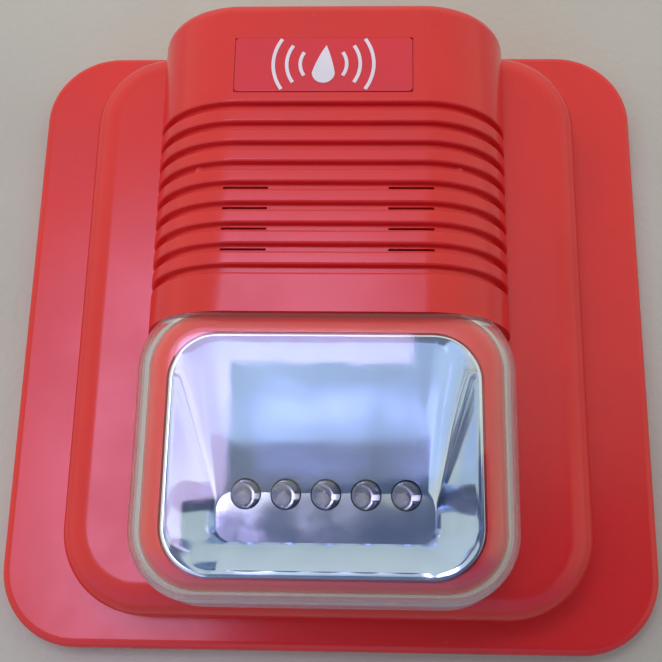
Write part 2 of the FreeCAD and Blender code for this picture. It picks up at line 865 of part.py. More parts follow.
def make_led(number, place):
    """A round LED: a flange, a barrel and a half-round tip."""
    name = "strobe_led_%d" % number
    body = new_body(name)
    profile = [("0", "0"), ("led_flange", "0"), ("led_flange", "led_flange_thick"),
               ("led_radius", "led_flange_thick"), ("led_radius", "led_height", "led_radius - nearly"),
               ("0", "led_height")]
    revolve(body, outline(body, name + "_profile", profile, "XZ_Plane"), name + "_turned")
    bind_base(body, place, "led_level", BOARD_TOP)
    subpart(body, name)


def make_strobe():
    places = spots("led_count", "led_pitch")
    for number, place in enumerate(places, start=1):
        make_led(number, place)
    leads = []
    for number, place in enumerate(places, start=1):
        for side in (-1, 1):
            across = "%s + %d * lead_pitch / 2" % (place, side)
            leads.append(block("led_lead_%d_%d" % (number, side + 1), across, "led_level",
                               "board_level - lead_length", "lead_width", "lead_width", "lead_length"))
    group("led_leads", leads)


# ---------------------------------------------------------------------------
# Main board and screws
# ---------------------------------------------------------------------------
WINDOW_WIDTH = "block_width + 2 * window_gap"
WINDOW_LENGTH = "block_step - block_low + 2 * window_gap"
WINDOW_MIDDLE = "(block_step + block_low) / 2"


def make_board():
    body = new_body("main_board")
    pad(body, outline(body, "board", rectangle("board_width", "board_length", "board_corner")), "board_thick")
    window = rectangle(WINDOW_WIDTH, WINDOW_LENGTH, "window_corner", "0", WINDOW_MIDDLE)
    cut(body, outline(body, "terminal_window", window), "board_thick", True)
    holes = circles(body, "board_holes", "screw_radius + screw_gap", BOARD_SCREWS + POST_PLACES)
    cut(body, holes, "board_thick", True)
    bind(body, "Placement.Base.z", "board_level")
    subpart(body, "main_board")


def screw(name, head, head_thick, shank, length, head_down, x, y, level):
    """A pan-head screw whose head's bearing face is at level."""
    body = new_body(name)
    side = "-" if head_down else ""
    other = "" if head_down else "-"
    profile = [("0", side + "(%s)" % head_thick), (head, side + "(%s)" % head_thick), (head, "0"),
               (shank, "0"), (shank, other + "(%s)" % length), ("0", other + "(%s)" % length)]
    revolve(body, outline(body, name + "_profile", profile, "XZ_Plane"), name + "_turned")
    drive = rectangle("(%s) * drive_reach" % head, "(%s) * drive_width" % head)
    across = rectangle("(%s) * drive_width" % head, "(%s) * drive_reach" % head)
    for label, corners in (("drive", drive), ("across", across)):
        sketch = outline(body, "%s_%s" % (name, label), corners, level=side + "(%s)" % head_thick)
        cut(body, sketch, "(%s) * drive_depth" % head_thick, head_down)
    bind_base(body, x, y, level)
    return body


def small_screws(label, places, level, head_down=True):
    items = [screw("%s_%d" % (label, number), "screw_head", "screw_head_thick", "screw_radius",
                   "screw_length", head_down, x, y, level) for number, (x, y) in enumerate(places, start=1)]
    group(label, items)


# ---------------------------------------------------------------------------
# Sounder
# ---------------------------------------------------------------------------
def make_sounder():
    dome_inside = "dome_top - wall"
    cup_level = "%s - seal_thick - cup_height" % dome_inside
    seal_level = "%s - seal_thick" % dome_inside
    outside = rod("seal_outer", "0", "sounder_level", seal_level, "sounder_radius", "seal_thick")
    inside = rod("seal_inner", "0", "sounder_level", seal_level, "sounder_radius - seal_width", "seal_thick")
    seal = minus("seal_ring", outside, inside)
    subpart(seal, "sounder_seal")

    cup = new_body("sounder_cup")
    pad(cup, circles(cup, "cup_outside", "sounder_radius", [("0", "0")]), "cup_height")
    cut(cup, circles(cup, "cup_inside", "sounder_radius - sounder_wall - disc_ledge", [("0", "0")]),
        "cup_height - cup_face", True)
    cut(cup, circles(cup, "disc_seat", "sounder_radius - sounder_wall", [("0", "0")]), "disc_thick", True)
    ports = [("0", "0")]
    count = int(value("port_count"))
    for step in range(count):
        angle = 2 * math.pi * step / count
        ports.append(("port_circle * %.6f" % math.cos(angle), "port_circle * %.6f" % math.sin(angle)))
    cut(cup, circles(cup, "ports", "port_radius", ports, level="cup_height"), "cup_face")
    bind_base(cup, "0", "sounder_level", cup_level)
    subpart(cup, "sounder_cup")

    subpart(rod("piezo_disc", "0", "sounder_level", cup_level, "sounder_radius - sounder_wall - screw_gap",
                "disc_thick"), "piezo_disc")
    subpart(rod("piezo_ceramic", "0", "sounder_level", "%s - ceramic_thick" % cup_level,
                "ceramic_radius", "ceramic_thick"), "piezo_ceramic")

    cover = new_body("sounder_cover")
    pad(cover, circles(cover, "cover_outside", "sounder_radius", [("0", "0")]), "cover_height")
    bar = rectangle("ear_span + 2 * ear_radius", "2 * ear_radius", "ear_radius - nearly")
    pad(cover, outline(cover, "ears", bar), "ear_thick")
    cut(cover, circles(cover, "cover_inside", "sounder_radius - sounder_wall - disc_ledge", [("0", "0")],
                       level="cover_height"), "cover_height - cover_face")
    ears = [("-ear_span / 2", "0"), ("ear_span / 2", "0")]
    cut(cover, circles(cover, "ear_holes", "screw_radius + screw_gap", ears), "ear_thick", True)
    outlets = [("%d * lead_spacing / 2" % side, "lead_exit - sounder_radius") for side in (-1, 1)]
    cut(cover, circles(cover, "lead_outlets", "lead_radius + lead_gap", outlets), "cover_face", True)
    bind_base(cover, "0", "sounder_level", COVER_LEVEL)
    subpart(cover, "sounder_cover")


def lead(label, side):
    """A short lead from the sounder's cover down to the board, bent twice."""
    x = value("lead_spacing") / 2 * side
    radius = value("lead_radius")
    cover_top = value("%s + cover_face" % COVER_LEVEL)
    top = vector(x, value("sounder_level - sounder_radius + lead_exit"), cover_top)
    foot = vector(x, value("sounder_level - sounder_radius - lead_foot"), value(BOARD_TOP))
    bend = (top.y - foot.y) / 2
    middle = (top.z - value("cover_face") + foot.z) / 2
    upper = vector(x, top.y, middle + bend)
    lower = vector(x, foot.y, middle - bend)
    joint = vector(x, (top.y + foot.y) / 2, middle)
    slant = bend * (1 - math.sqrt(0.5))
    high_bend = vector(x, top.y - slant, middle + slant)
    low_bend = vector(x, foot.y + slant, middle - slant)
    edges = [Part.LineSegment(top, upper).toShape(), Part.Arc(upper, high_bend, joint).toShape(),
             Part.Arc(joint, low_bend, lower).toShape(), Part.LineSegment(lower, foot).toShape()]
    ring = Part.Wire(Part.Circle(top, vector(0, 0, 1), radius).toShape())
    item = doc.addObject("Part::Feature", label)
    item.Shape = Part.Wire(edges).makePipeShell([ring], True, False)
    subpart(item, label)


# ---------------------------------------------------------------------------
# Board components
# ---------------------------------------------------------------------------
def make_capacitors():
    """Two upright electrolytic capacitors, each a can with a rolled groove near its foot."""
    neck = "can_radius - can_bead"
    bead_top = "can_bead_level + 2 * can_bead + can_bead_face"
    profile = [("0", "0"), ("can_radius", "0"), ("can_radius", "can_bead_level"),
               (neck, "can_bead_level + can_bead"), (neck, "can_bead_level + can_bead + can_bead_face"),
               ("can_radius", bead_top), ("can_radius", "can_height - can_bead"), (neck, "can_height"),
               ("0", "can_height")]
    for number, side in enumerate((-1, 1), start=1):
        name = "input_capacitor_%d" % number
        body = new_body(name)
        revolve(body, outline(body, name + "_profile", profile, "XZ_Plane"), name + "_turned")
        bind_base(body, "can_shift + %d * can_spacing / 2" % side, "can_level", BOARD_TOP)
        subpart(body, name)


def make_wound_part(name, word):
    """A drum core with a winding between its two cheeks. Its sizes on the sheet start with word."""
    x, y = word + "_shift", word + "_level"
    radius, height, cheek = word + "_radius", word + "_height", word + "_cheek"
    core = new_body(name + "_core")
    inner = "%s * core_share" % radius
    upper = "%s - %s" % (height, cheek)
    profile = [("0", "0"), (radius, "0"), (radius, cheek), (inner, cheek), (inner, upper), (radius, upper),
               (radius, height), ("0", height)]
    revolve(core, outline(core, name + "_profile", profile, "XZ_Plane"), name + "_turned")
    bind_base(core, x, y, BOARD_TOP)
    subpart(core, name + "_core")
    level = "%s + %s + winding_gap" % (BOARD_TOP, cheek)
    span = "%s - 2 * %s - 2 * winding_gap" % (height, cheek)
    coil = minus(name + "_ring", rod(name + "_wound", x, y, level, "%s * winding_share" % radius, span),
                 rod(name + "_inside", x, y, level, inner + " + winding_gap", span))
    subpart(coil, name + "_winding")


def chips(label, places, width, length, height, level=BOARD_TOP):
    """Equal boxes at the given places, not yet grouped."""
    return [block("%s_%d" % (label, number), x, y, level, width, length, height)
            for number, (x, y) in enumerate(places, start=1)]


def make_controller():
    """A small-outline controller and its gull-wing leads, down both long sides."""
    case = block("controller_case", "chip_shift", "chip_level", "%s + chip_lift" % BOARD_TOP, "chip_width",
                 "chip_length", "chip_height")
    subpart(case, "microcontroller")
    count = int(value("wing_count"))
    pins = []
    for side in (-1, 1):
        for step in range(count):
            place = "chip_level + %s * wing_pitch" % (step - (count - 1) / 2)
            name = "%d_%d" % (side + 1, step)
            near = "chip_shift + %d * (chip_width / 2 + wing_reach / 2)" % side
            bend = "chip_shift + %d * (chip_width / 2 + wing_reach - wing_thick / 2)" % side
            far = "chip_shift + %d * (chip_width / 2 + wing_reach + wing_foot / 2 - wing_thick)" % side
            foot = block("pin_foot_" + name, far, place, BOARD_TOP, "wing_foot", "wing_width", "wing_thick")
            rise = block("pin_rise_" + name, bend, place, BOARD_TOP, "wing_thick", "wing_width", "wing_rise")
            arm = block("pin_arm_" + name, near, place, "%s + wing_rise - wing_thick" % BOARD_TOP,
                        "wing_reach", "wing_width", "wing_thick")
            pins.append(joined("pin_" + name, [foot, rise, arm]))
    group("microcontroller_leads", pins)


def make_power_parts():
    """Driver transistors on their tabs, rectifier diodes with end caps, and the varistor."""
    places = [("driver_shift", "driver_level + %d * driver_spacing / 2" % side) for side in (1, -1)]
    group("driver_transistors", chips("transistor_case", places, "driver_width", "driver_length",
                                      "driver_height", "%s + driver_lift" % BOARD_TOP))
    tabs = []
    for number, (x, y) in enumerate(places, start=1):
        tabs.append(block("tab_%d" % number, x, "%s + driver_length / 2 + tab_length / 2" % y, BOARD_TOP,
                          "tab_width", "tab_length", "tab_thick"))
        for side in (-1, 1):
            tabs.append(block("tab_leg_%d_%d" % (number, side + 1), "%s + %d * leg_spacing / 2" % (x, side),
                              "%s - driver_length / 2 - leg_length / 2" % y, BOARD_TOP, "leg_width",
                              "leg_length", "tab_thick"))
    group("transistor_tabs", tabs)
    places = [("diode_shift + %d * diode_pitch / 2" % across, "diode_level + %d * diode_pitch / 2" % along)
              for along in (1, -1) for across in (-1, 1)]
    group("rectifier_diodes", chips("diode", places, "diode_width", "diode_length", "diode_height"))
    ends = []
    for number, (x, y) in enumerate(places, start=1):
        for side in (-1, 1):
            ends.append(block("diode_end_%d_%d" % (number, side + 1), x,
                              "%s + %d * (diode_length + diode_cap) / 2" % (y, side), BOARD_TOP,
                              "diode_cap_width", "diode_cap", "diode_cap_height"))
    group("diode_leads", ends)
    disc = rod("varistor_disc", "0", "0", "0", "varistor_radius", "varistor_thick")
    disc.Placement = FreeCAD.Placement(vector(0, 0, 0), FreeCAD.Rotation(vector(1, 0, 0), 90))
    bind_base(disc, "varistor_shift", "varistor_level", "%s + varistor_radius + varistor_lift" % BOARD_TOP)
    subpart(disc, "varistor")


def row_of_places(first, level, count):
    """Places of small chips in a row, a pitch apart, starting at first."""
    return [("%s + %d * small_pitch" % (first, step), level) for step in range(int(value(count)))]


def make_small_chips():
    """Two rows of chip resistors and two of chip capacitors."""
    resistors = (row_of_places("row_left", "resistor_level", "row_count")
                 + row_of_places("row_right", "divider_level", "divider_count"))
    group("chip_resistors", chips("resistor", resistors, "resistor_width", "resistor_length",
                                  "resistor_height"))
    capacitors = (row_of_places("row_left", "decoupler_level", "row_count")
                  + row_of_places("row_right + 1", "filter_level", "row_count"))
    group("chip_capacitors", chips("chip_capacitor", capacitors, "ceramic_width", "ceramic_length",
                                   "ceramic_height"))


# ---------------------------------------------------------------------------
# Setting switches on the back of the board
# ---------------------------------------------------------------------------
def make_dip_switch():
    body = new_body("sound_switch")
    pad(body, outline(body, "dip_case", rectangle("dip_width", "dip_length")), "dip_height")
    slot_length = "dip_travel + knob_width + 2 * knob_gap"
    places = spots("dip_count", "dip_pitch")
    corners = rectangle("knob_width + 2 * knob_gap", slot_length, None, places[0], "0")
    slot = cut(body, outline(body, "dip_slot", corners), "knob_depth + knob_gap", True)
    repeat_along(body, "dip_slots", slot, "X_Axis", "dip_pitch * (dip_count - 1)", "dip_count")
    bind_base(body, "dip_shift", "dip_level", "board_level - dip_height")
    subpart(body, "sound_switch")
    for number, place in enumerate(places, start=1):
        item = block("dip_knob_%d" % number, "dip_shift + %s" % place, "dip_level - dip_travel / 2",
                     "board_level - dip_height - knob_proud", "knob_width", "knob_width",
                     "knob_proud + knob_depth")
        subpart(item, "sound_slider_%d" % number)


def make_light_switch():
    body = new_body("light_switch")
    pad(body, outline(body, "light_case", rectangle("light_width", "light_length")), "light_height")
    corners = rectangle("light_knob + 2 * knob_gap", "light_travel + light_knob + 2 * knob_gap")
    cut(body, outline(body, "light_slot", corners), "knob_depth + knob_gap", True)
    bind_base(body, "light_shift", "light_level", "board_level - light_height")
    subpart(body, "light_switch")
    item = block("light_knob", "light_shift", "light_level - light_travel / 2",
                 "board_level - light_height - knob_proud", "light_knob", "light_knob",
                 "knob_proud + knob_depth")
    subpart(item, "light_slider")


# ---------------------------------------------------------------------------
# Wall plate and wiring terminals
# ---------------------------------------------------------------------------
def make_plate():
    body = new_body("wall_plate")
    width = "%s - 2 * plate_gap" % RECESS_WIDTH
    pad(body, outline(body, "plate", rectangle(width, width, "plate_corner")), "plate_thick")
    entry = rectangle("entry_width", "entry_length", "entry_corner", "0", "entry_level")
    cut(body, outline(body, "wire_entry", entry), "plate_thick", True)
    single = [("0", "%d * box_screw_spacing / 2" % side) for side in (-1, 1)]
    double = four_corners("gang_spacing", "box_screw_spacing")
    cut(body, circles(body, "box_screw_holes", "box_screw_hole", single + double), "plate_thick", True)
    block_screws = [("%d * block_screw_spacing / 2" % side, "block_screw_level") for side in (-1, 1)]
    cut(body, circles(body, "block_screw_holes", "screw_radius + screw_gap", block_screws), "plate_thick",
        True)
    reach = "plateau_length - 2 * wall - 2 * plate_gap - tongue_thick"
    for number, (x, y) in enumerate(four_corners("tongue_spacing", reach), start=1):
        tongue = rectangle("tongue_width", "tongue_thick", None, x, y)
        pad(body, outline(body, "tongue_%d" % number, tongue, level="plate_thick / 2"),
            "tongue_top - plate_thick / 2")
    subpart(body, "wall_plate")


def make_terminals():
    places = spots("terminal_count", "terminal_pitch")
    pin_places = spots("terminal_count", "pin_pitch")
    base = "plate_thick"
    body = new_body("terminal_block")
    low = rectangle("block_width", "block_high - block_low", None, "0", "(block_high + block_low) / 2")
    pad(body, outline(body, "block_low_part", low), "block_shelf - %s" % base)
    tall = rectangle("block_width", "block_step - block_low", None, "0", "(block_step + block_low) / 2")
    pad(body, outline(body, "block_tall_part", tall), "block_top - %s" % base)
    cell_length = "cage_length + 2 * cage_gap"
    cell = rectangle("cell_width", cell_length, None, places[0], "terminal_level")
    cell_cut = cut(body, outline(body, "cell", cell, level="cage_level - cage_gap - %s" % base),
                   "clamp_head_level - cage_level - tight_gap", True)
    repeat_along(body, "cells", cell_cut, "X_Axis", "terminal_pitch * (terminal_count - 1)", "terminal_count")
    mouth = rectangle("strip_width + mouth_extra", "terminal_level - block_low + mouth_extra", None,
                      places[0], "(terminal_level + block_low - mouth_extra) / 2")
    mouth_cut = cut(body, outline(body, "mouth", mouth, level="cage_level + cage_wall - %s" % base),
                    "cage_height - 2 * cage_wall", True)
    repeat_along(body, "mouths", mouth_cut, "X_Axis", "terminal_pitch * (terminal_count - 1)",
                 "terminal_count")
    strip_level = "cage_level + cage_height - cage_wall - strip_thick - tight_gap"
    passage = rectangle("strip_width", "block_step - terminal_level + mouth_extra", None, places[0],
                        "(block_step + terminal_level - mouth_extra) / 2")
    passage_cut = cut(body, outline(body, "passage", passage, level="%s - %s" % (strip_level, base)),
                      "strip_thick", True)
    repeat_along(body, "passages", passage_cut, "X_Axis", "terminal_pitch * (terminal_count - 1)",
                 "terminal_count")
    centres = [(place, "terminal_level") for place in places]
    cut(body, circles(body, "shank_holes", "clamp_radius + clamp_gap", centres,
                      level="block_top - %s" % base), "block_top - clamp_head_level + mouth_extra")
    cut(body, circles(body, "head_wells", "clamp_head + clamp_gap", centres, level="block_top - %s" % base),
        "block_top - clamp_head_level")
    pins = [(place, "pin_level") for place in pin_places]
    cut(body, circles(body, "pin_sockets", "pin_width * sqrt(2) / 2 + pin_gap", pins,
                      level="block_shelf - %s" % base), "block_shelf - pin_tip + pin_room")
    block_screws = [("%d * block_screw_spacing / 2" % side, "block_screw_level") for side in (-1, 1)]
    cut(body, circles(body, "block_holes", "screw_radius + screw_gap", block_screws),
        "block_shelf - %s" % base, True)
    cut(body, circles(body, "block_counterbores", "screw_head + screw_gap", block_screws,
                      level="block_shelf - %s" % base), "screw_head_thick")
    bind(body, "Placement.Base.z", base)
    subpart(body, "terminal_block")

    strips = []
    for number, place in enumerate(places, start=1):
        strips.append(block("strip_%d" % number, place, "(block_step + terminal_level - cage_length / 2) / 2",
                            strip_level, "strip_width - tight_gap",
                            "block_step - terminal_level + cage_length / 2 - 2 * tight_gap",
                            "strip_thick - tight_gap"))
    group("contact_strips", strips)
    for number, place in enumerate(places, start=1):
        make_cage(number, place)
        item = screw("clamp_%d" % number, "clamp_head", "clamp_head_thick", "clamp_radius",
                     "clamp_head_level - (%s) - strip_thick - tight_gap" % strip_level, False,
                     place, "terminal_level", "clamp_head_level")
        subpart(item, "terminal_screw_%d" % number)
    small_screws("block_screws", block_screws, "block_shelf - screw_head_thick", False)


def make_cage(number, place):
    """A square brass cage: the screw in its top draws it up round the strip and the wire."""
    name = "wire_cage_%d" % number
    body = new_body(name)
    pad(body, outline(body, name + "_outside", rectangle("cage_width", "cage_length")), "cage_height")
    window = rectangle("cage_width - 2 * cage_wall", "cage_length + mouth_extra")
    cut(body, outline(body, name + "_window", window, level="cage_wall"), "cage_height - 2 * cage_wall", True)
    cut(body, circles(body, name + "_thread", "clamp_radius + clamp_gap", [("0", "0")], level="cage_height"),
        "cage_wall")
    bind_base(body, place, "terminal_level", "cage_level")
    subpart(body, name)


def make_plug():
    pin_places = spots("terminal_count", "pin_pitch")
    subpart(block("header_bar", "0", "pin_level", "board_level - header_height",
                  "pin_pitch * terminal_count", "header_length", "header_height"), "plug_header")
    pins = [block("plug_pin_%d" % number, place, "pin_level", "pin_tip", "pin_width", "pin_width",
                  "board_level - header_height - pin_tip")
            for number, place in enumerate(pin_places, start=1)]
    group("plug_pins", pins)


# ---------------------------------------------------------------------------
# Build, check and export
# ---------------------------------------------------------------------------
make_housing()
make_label()
make_lens()
make_reflector()
make_strobe()
make_board()
small_screws("board_screws", BOARD_SCREWS, "board_level")
small_screws("reflector_screws", POST_PLACES, "board_level")
make_sounder()
small_screws("sounder_screws", EAR_PLACES, COVER_LEVEL)
lead("sounder_lead_red", -1)
lead("sounder_lead_black", 1)
make_capacitors()
make_wound_part("horn_transformer", "transformer")
make_wound_part("strobe_inductor", "inductor")
make_controller()
make_power_parts()
make_small_chips()
make_dip_switch()
make_light_switch()
make_plate()
make_terminals()
make_plug()

doc.recompute()
for item in doc.Objects:
    if "Invalid" in item.State or "Error" in item.State:
        raise RuntimeError("%s failed: %s" % (item.Name, item.State))
for item in SUBPARTS:
    if item.Shape.isNull() or not item.Shape.isValid():
        raise RuntimeError("%s has no valid shape" % item.Label)

os.makedirs("parts", exist_ok=True)
for item in SUBPARTS:
    item.Shape.exportStep("parts/%s.step" % item.Label)
print("%d sub-parts" % len(SUBPARTS))
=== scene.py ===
# %% [markdown]
# # A wall-mounted horn strobe
# This is a fire alarm's horn strobe: a square red housing whose raised middle is a ribbed sounder
# dome above, and a clear lens over a chromed light basin below. Behind it sit a circuit board, a
# piezo sounder, a wall plate and its wiring terminals.
#
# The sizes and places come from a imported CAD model, the frame. It could all be drawn again here,
# but the moving bodies, the screw places and the overall size are already right there, so this
# script only adds what CAD leaves out: fine shapes, finishes and light.

import json
import math

import bmesh
import bpy
from mathutils import Matrix, Vector

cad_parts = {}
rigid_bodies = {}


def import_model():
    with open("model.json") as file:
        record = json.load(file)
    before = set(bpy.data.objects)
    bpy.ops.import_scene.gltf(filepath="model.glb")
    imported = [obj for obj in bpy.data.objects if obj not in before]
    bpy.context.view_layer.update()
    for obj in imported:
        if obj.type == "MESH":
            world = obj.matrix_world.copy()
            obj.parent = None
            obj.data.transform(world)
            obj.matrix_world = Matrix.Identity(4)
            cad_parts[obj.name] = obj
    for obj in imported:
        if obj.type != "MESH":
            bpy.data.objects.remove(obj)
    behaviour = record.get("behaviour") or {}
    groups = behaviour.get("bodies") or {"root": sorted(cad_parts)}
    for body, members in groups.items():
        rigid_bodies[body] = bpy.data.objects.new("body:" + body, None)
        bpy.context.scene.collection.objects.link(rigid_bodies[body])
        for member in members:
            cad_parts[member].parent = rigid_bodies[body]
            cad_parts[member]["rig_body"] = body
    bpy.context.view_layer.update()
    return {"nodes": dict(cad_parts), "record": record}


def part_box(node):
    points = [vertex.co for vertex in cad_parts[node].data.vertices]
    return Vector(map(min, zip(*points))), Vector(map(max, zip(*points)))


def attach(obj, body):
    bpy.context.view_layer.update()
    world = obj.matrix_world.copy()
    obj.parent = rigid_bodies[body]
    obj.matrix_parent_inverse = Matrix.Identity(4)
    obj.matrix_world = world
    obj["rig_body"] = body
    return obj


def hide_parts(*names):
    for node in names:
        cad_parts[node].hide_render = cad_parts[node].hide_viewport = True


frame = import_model()
MM = 0.001
SAME_PLACE = 1e-7
SAME_LEVEL = 1e-6
CAD_MERGE = 2e-6
nodes = frame["nodes"]
scene = bpy.context.scene

# %% [markdown]
# ## Small tools
# Most pieces are closed skins through a stack of rings: a lens, a basin, a screw head. A ring can
# be a circle or a rectangle with round corners, and with the same number of points in each ring the
# faces between two rings are plain four-sided ones. That keeps highlights smooth, which matters
# more on glass and chrome than anywhere else.

# %% Boxes, rings and skins


def low(node):
    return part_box(node)[0]


def high(node):
    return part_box(node)[1]


def middle(node):
    return (low(node) + high(node)) / 2


def round_rectangle(half_x, half_y, corner, z, centre=(0.0, 0.0), arc=12):
    """Points of a level rectangle with round corners, counter-clockwise from above."""
    corner = min(corner, half_x, half_y)
    places = []
    for turn, (side_x, side_y) in enumerate(((1, 1), (-1, 1), (-1, -1), (1, -1))):
        for step in range(arc + 1):
            angle = math.pi / 2 * (turn + step / arc)
            x = side_x * (half_x - corner) + corner * math.cos(angle)
            y = side_y * (half_y - corner) + corner * math.sin(angle)
            places.append(Vector((centre[0] + x, centre[1] + y, z)))
    return places


def circle(radius, z, centre=(0.0, 0.0), count=48):
    turns = [2 * math.pi * step / count for step in range(count)]
    return [Vector((centre[0] + radius * math.cos(turn), centre[1] + radius * math.sin(turn), z))
            for turn in turns]


def skin(bm, rings, close_first=True, close_last=True, loop=False):
    """Join rings of equal length with four-sided faces, which look outwards if the rings run upwards."""
    rows = [[bm.verts.new(place) for place in ring] for ring in rings]
    pairs = list(zip(rows, rows[1:])) + ([(rows[-1], rows[0])] if loop else [])
    for below, above in pairs:
        for i in range(len(below)):
            j = (i + 1) % len(below)
            bm.faces.new((below[i], below[j], above[j], above[i]))
    if close_first and not loop:
        bm.faces.new(list(reversed(rows[0])))
    if close_last and not loop:
        bm.faces.new(rows[-1])
    return rows


print("a square of 10 mm with round corners has",
      len(round_rectangle(5 * MM, 5 * MM, 1 * MM, 0.0)), "points")

# %% [markdown]
# A mesh is built with bmesh, then kept as plain data. Modifiers finish some of the pieces: what a
# modifier makes is read back and stored, so that nothing is left live on a piece when it is put on
# its body.

# %% Plain meshes and smooth shading


def new_mesh(name, bm, merge=SAME_PLACE):
    bmesh.ops.remove_doubles(bm, verts=bm.verts, dist=merge)
    mesh = bpy.data.meshes.new(name)
    bm.to_mesh(mesh)
    bm.free()
    return mesh


def shade(mesh, angle=32.0):
    """Smooth shading, with a hard line wherever two faces meet at more than the angle."""
    mesh.polygons.foreach_set("use_smooth", [True] * len(mesh.polygons))
    mesh.set_sharp_from_angle(angle=math.radians(angle))


def evaluated_mesh(thing):
    """The mesh that an object's modifiers make, as a plain mesh of its own."""
    bpy.context.view_layer.update()
    graph = bpy.context.evaluated_depsgraph_get()
    made = bpy.data.meshes.new_from_object(thing.evaluated_get(graph))
    thing.modifiers.clear()
    thing.data = made
    return made


def settle_normals(thing):
    """Flat faces keep their own direction and the narrow fillets between them take up the turn."""
    modifier = thing.modifiers.new("settle", "WEIGHTED_NORMAL")
    modifier.keep_sharp = True
    evaluated_mesh(thing)


def add_object(name, mesh):
    thing = bpy.data.objects.new(name, mesh)
    scene.collection.objects.link(thing)
    return thing


print("meshes before any piece", len(bpy.data.meshes))

# %% [markdown]
# Each finished piece rides on one CAD body, takes the material slot of the node it belongs to, and
# hides the CAD nodes that it stands for.

# %% Put a piece on its body


def finish_piece(name, mesh, slot, body, *stands_for, angle=32.0):
    """Put a finished mesh on its body, with its slot's finish and the CAD nodes it stands for."""
    thing = add_object(name, mesh)
    if not mesh.materials:
        mesh.materials.append(FINISHES[slot])
    shade(mesh, angle)
    settle_normals(thing)
    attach(thing, body)
    if stands_for:
        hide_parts(*stands_for)
    print(name, "on", body, "has", len(thing.data.polygons), "faces")


# %% [markdown]
# ## Effects that several finishes share
# Moulded plastic is never quite even: its surface has a fine grain, its gloss changes where hands
# have been, and dust lies on faces that look up. Each of these is a node group with its own inputs,
# so that one effect serves many materials. A group gives out a mask or a height; the shader itself
# stays in the material.

# %% Tools for node trees


def effect_group(name, inputs, output, build):
    """A shader node group with number inputs and one output. build returns the socket to give out."""
    group = bpy.data.node_groups.new(name, "ShaderNodeTree")
    for label, default in inputs.items():
        socket = group.interface.new_socket(label, in_out="INPUT", socket_type="NodeSocketFloat")
        socket.default_value = default
    group.interface.new_socket(output, in_out="OUTPUT", socket_type="NodeSocketFloat")
    start = group.nodes.new("NodeGroupInput")
    end = group.nodes.new("NodeGroupOutput")
    place = group.nodes.new("ShaderNodeTexCoord")
    group.links.new(build(group, start.outputs, place), end.inputs[0])
    return group


def noise(tree, place, scale, detail, rough=0.5):
    node = tree.nodes.new("ShaderNodeTexNoise")
    node.inputs["Detail"].default_value = detail
    node.inputs["Roughness"].default_value = rough
    tree.links.new(place.outputs["Object"], node.inputs["Vector"])
    if isinstance(scale, (int, float)):
        node.inputs["Scale"].default_value = scale
    else:
        tree.links.new(scale, node.inputs["Scale"])
    return node.outputs["Fac"]


def math_node(tree, operation, first, second=None):
    node = tree.nodes.new("ShaderNodeMath")
    node.operation = operation
    for socket, given in zip(node.inputs, (first, second)):
        if given is None:
            continue
        if isinstance(given, (int, float)):
            socket.default_value = given
        else:
            tree.links.new(given, socket)
    return node.outputs[0]


def ramp(tree, given, start, stop):
    """0 below start, 1 above stop, smooth between them."""
    node = tree.nodes.new("ShaderNodeMapRange")
    node.interpolation_type = "SMOOTHSTEP"
    tree.links.new(given, node.inputs["Value"])
    for label, number in (("From Min", start), ("From Max", stop)):
        if isinstance(number, (int, float)):
            node.inputs[label].default_value = number
        else:
            tree.links.new(number, node.inputs[label])
    return node.outputs["Result"]


print("node trees so far", len(bpy.data.node_groups))

# %% [markdown]
# Four effects: the grain of a moulding tool, the drift where hands have been, dust on faces that
# look up, and edges rubbed bright. A scale of 1000 gives noise about a millimetre wide.

# %% Build the shared effects
WIDE_GRAIN = 420.0
FINE_SHARE, WIDE_SHARE = 0.7, 0.3


def build_grain(tree, given, place):
    fine = noise(tree, place, given["Scale"], detail=3.0, rough=0.6)
    wide = noise(tree, place, WIDE_GRAIN, detail=2.0)
    return math_node(tree, "ADD", math_node(tree, "MULTIPLY", fine, FINE_SHARE),
                     math_node(tree, "MULTIPLY", wide, WIDE_SHARE))


def build_handling(tree, given, place):
    broad = noise(tree, place, given["Scale"], detail=5.0, rough=0.62)
    return ramp(tree, broad, start=0.38, stop=0.68)


def build_dust(tree, given, place):
    geometry = tree.nodes.new("ShaderNodeNewGeometry")
    split = tree.nodes.new("ShaderNodeSeparateXYZ")
    tree.links.new(geometry.outputs["Normal"], split.inputs[0])
    upward = ramp(tree, split.outputs["Z"], start=0.2, stop=1.0)
    specks = ramp(tree, noise(tree, place, given["Scale"], detail=6.0, rough=0.7), start=0.62, stop=0.8)
    return math_node(tree, "MULTIPLY", upward, specks)


def build_wear(tree, given, place):
    geometry = tree.nodes.new("ShaderNodeNewGeometry")
    edge = ramp(tree, geometry.outputs["Pointiness"], start=0.53, stop=0.62)
    broken = ramp(tree, noise(tree, place, given["Scale"], detail=4.0, rough=0.6), start=0.4, stop=0.62)
    return math_node(tree, "MULTIPLY", edge, broken)


grain_effect = effect_group("moulded_grain", {"Scale": 1500.0}, "Height", build_grain)
handling_effect = effect_group("handling_marks", {"Scale": 60.0}, "Mask", build_handling)
dust_effect = effect_group("settled_dust", {"Scale": 900.0}, "Mask", build_dust)
wear_effect = effect_group("worn_edges", {"Scale": 300.0}, "Mask", build_wear)
print("effects", [g.name for g in (grain_effect, handling_effect, dust_effect, wear_effect)])

# %% [markdown]
# ## Finishes
# Every finish starts from the same recipe: a colour that drifts a little, a roughness that rises
# where the piece has been handled or dust lies on it, and a fine bump. What tells plastic from
# metal or rubber is the numbers that go in. Values that don't change over the surface are set
# straight on the shader's own sockets.

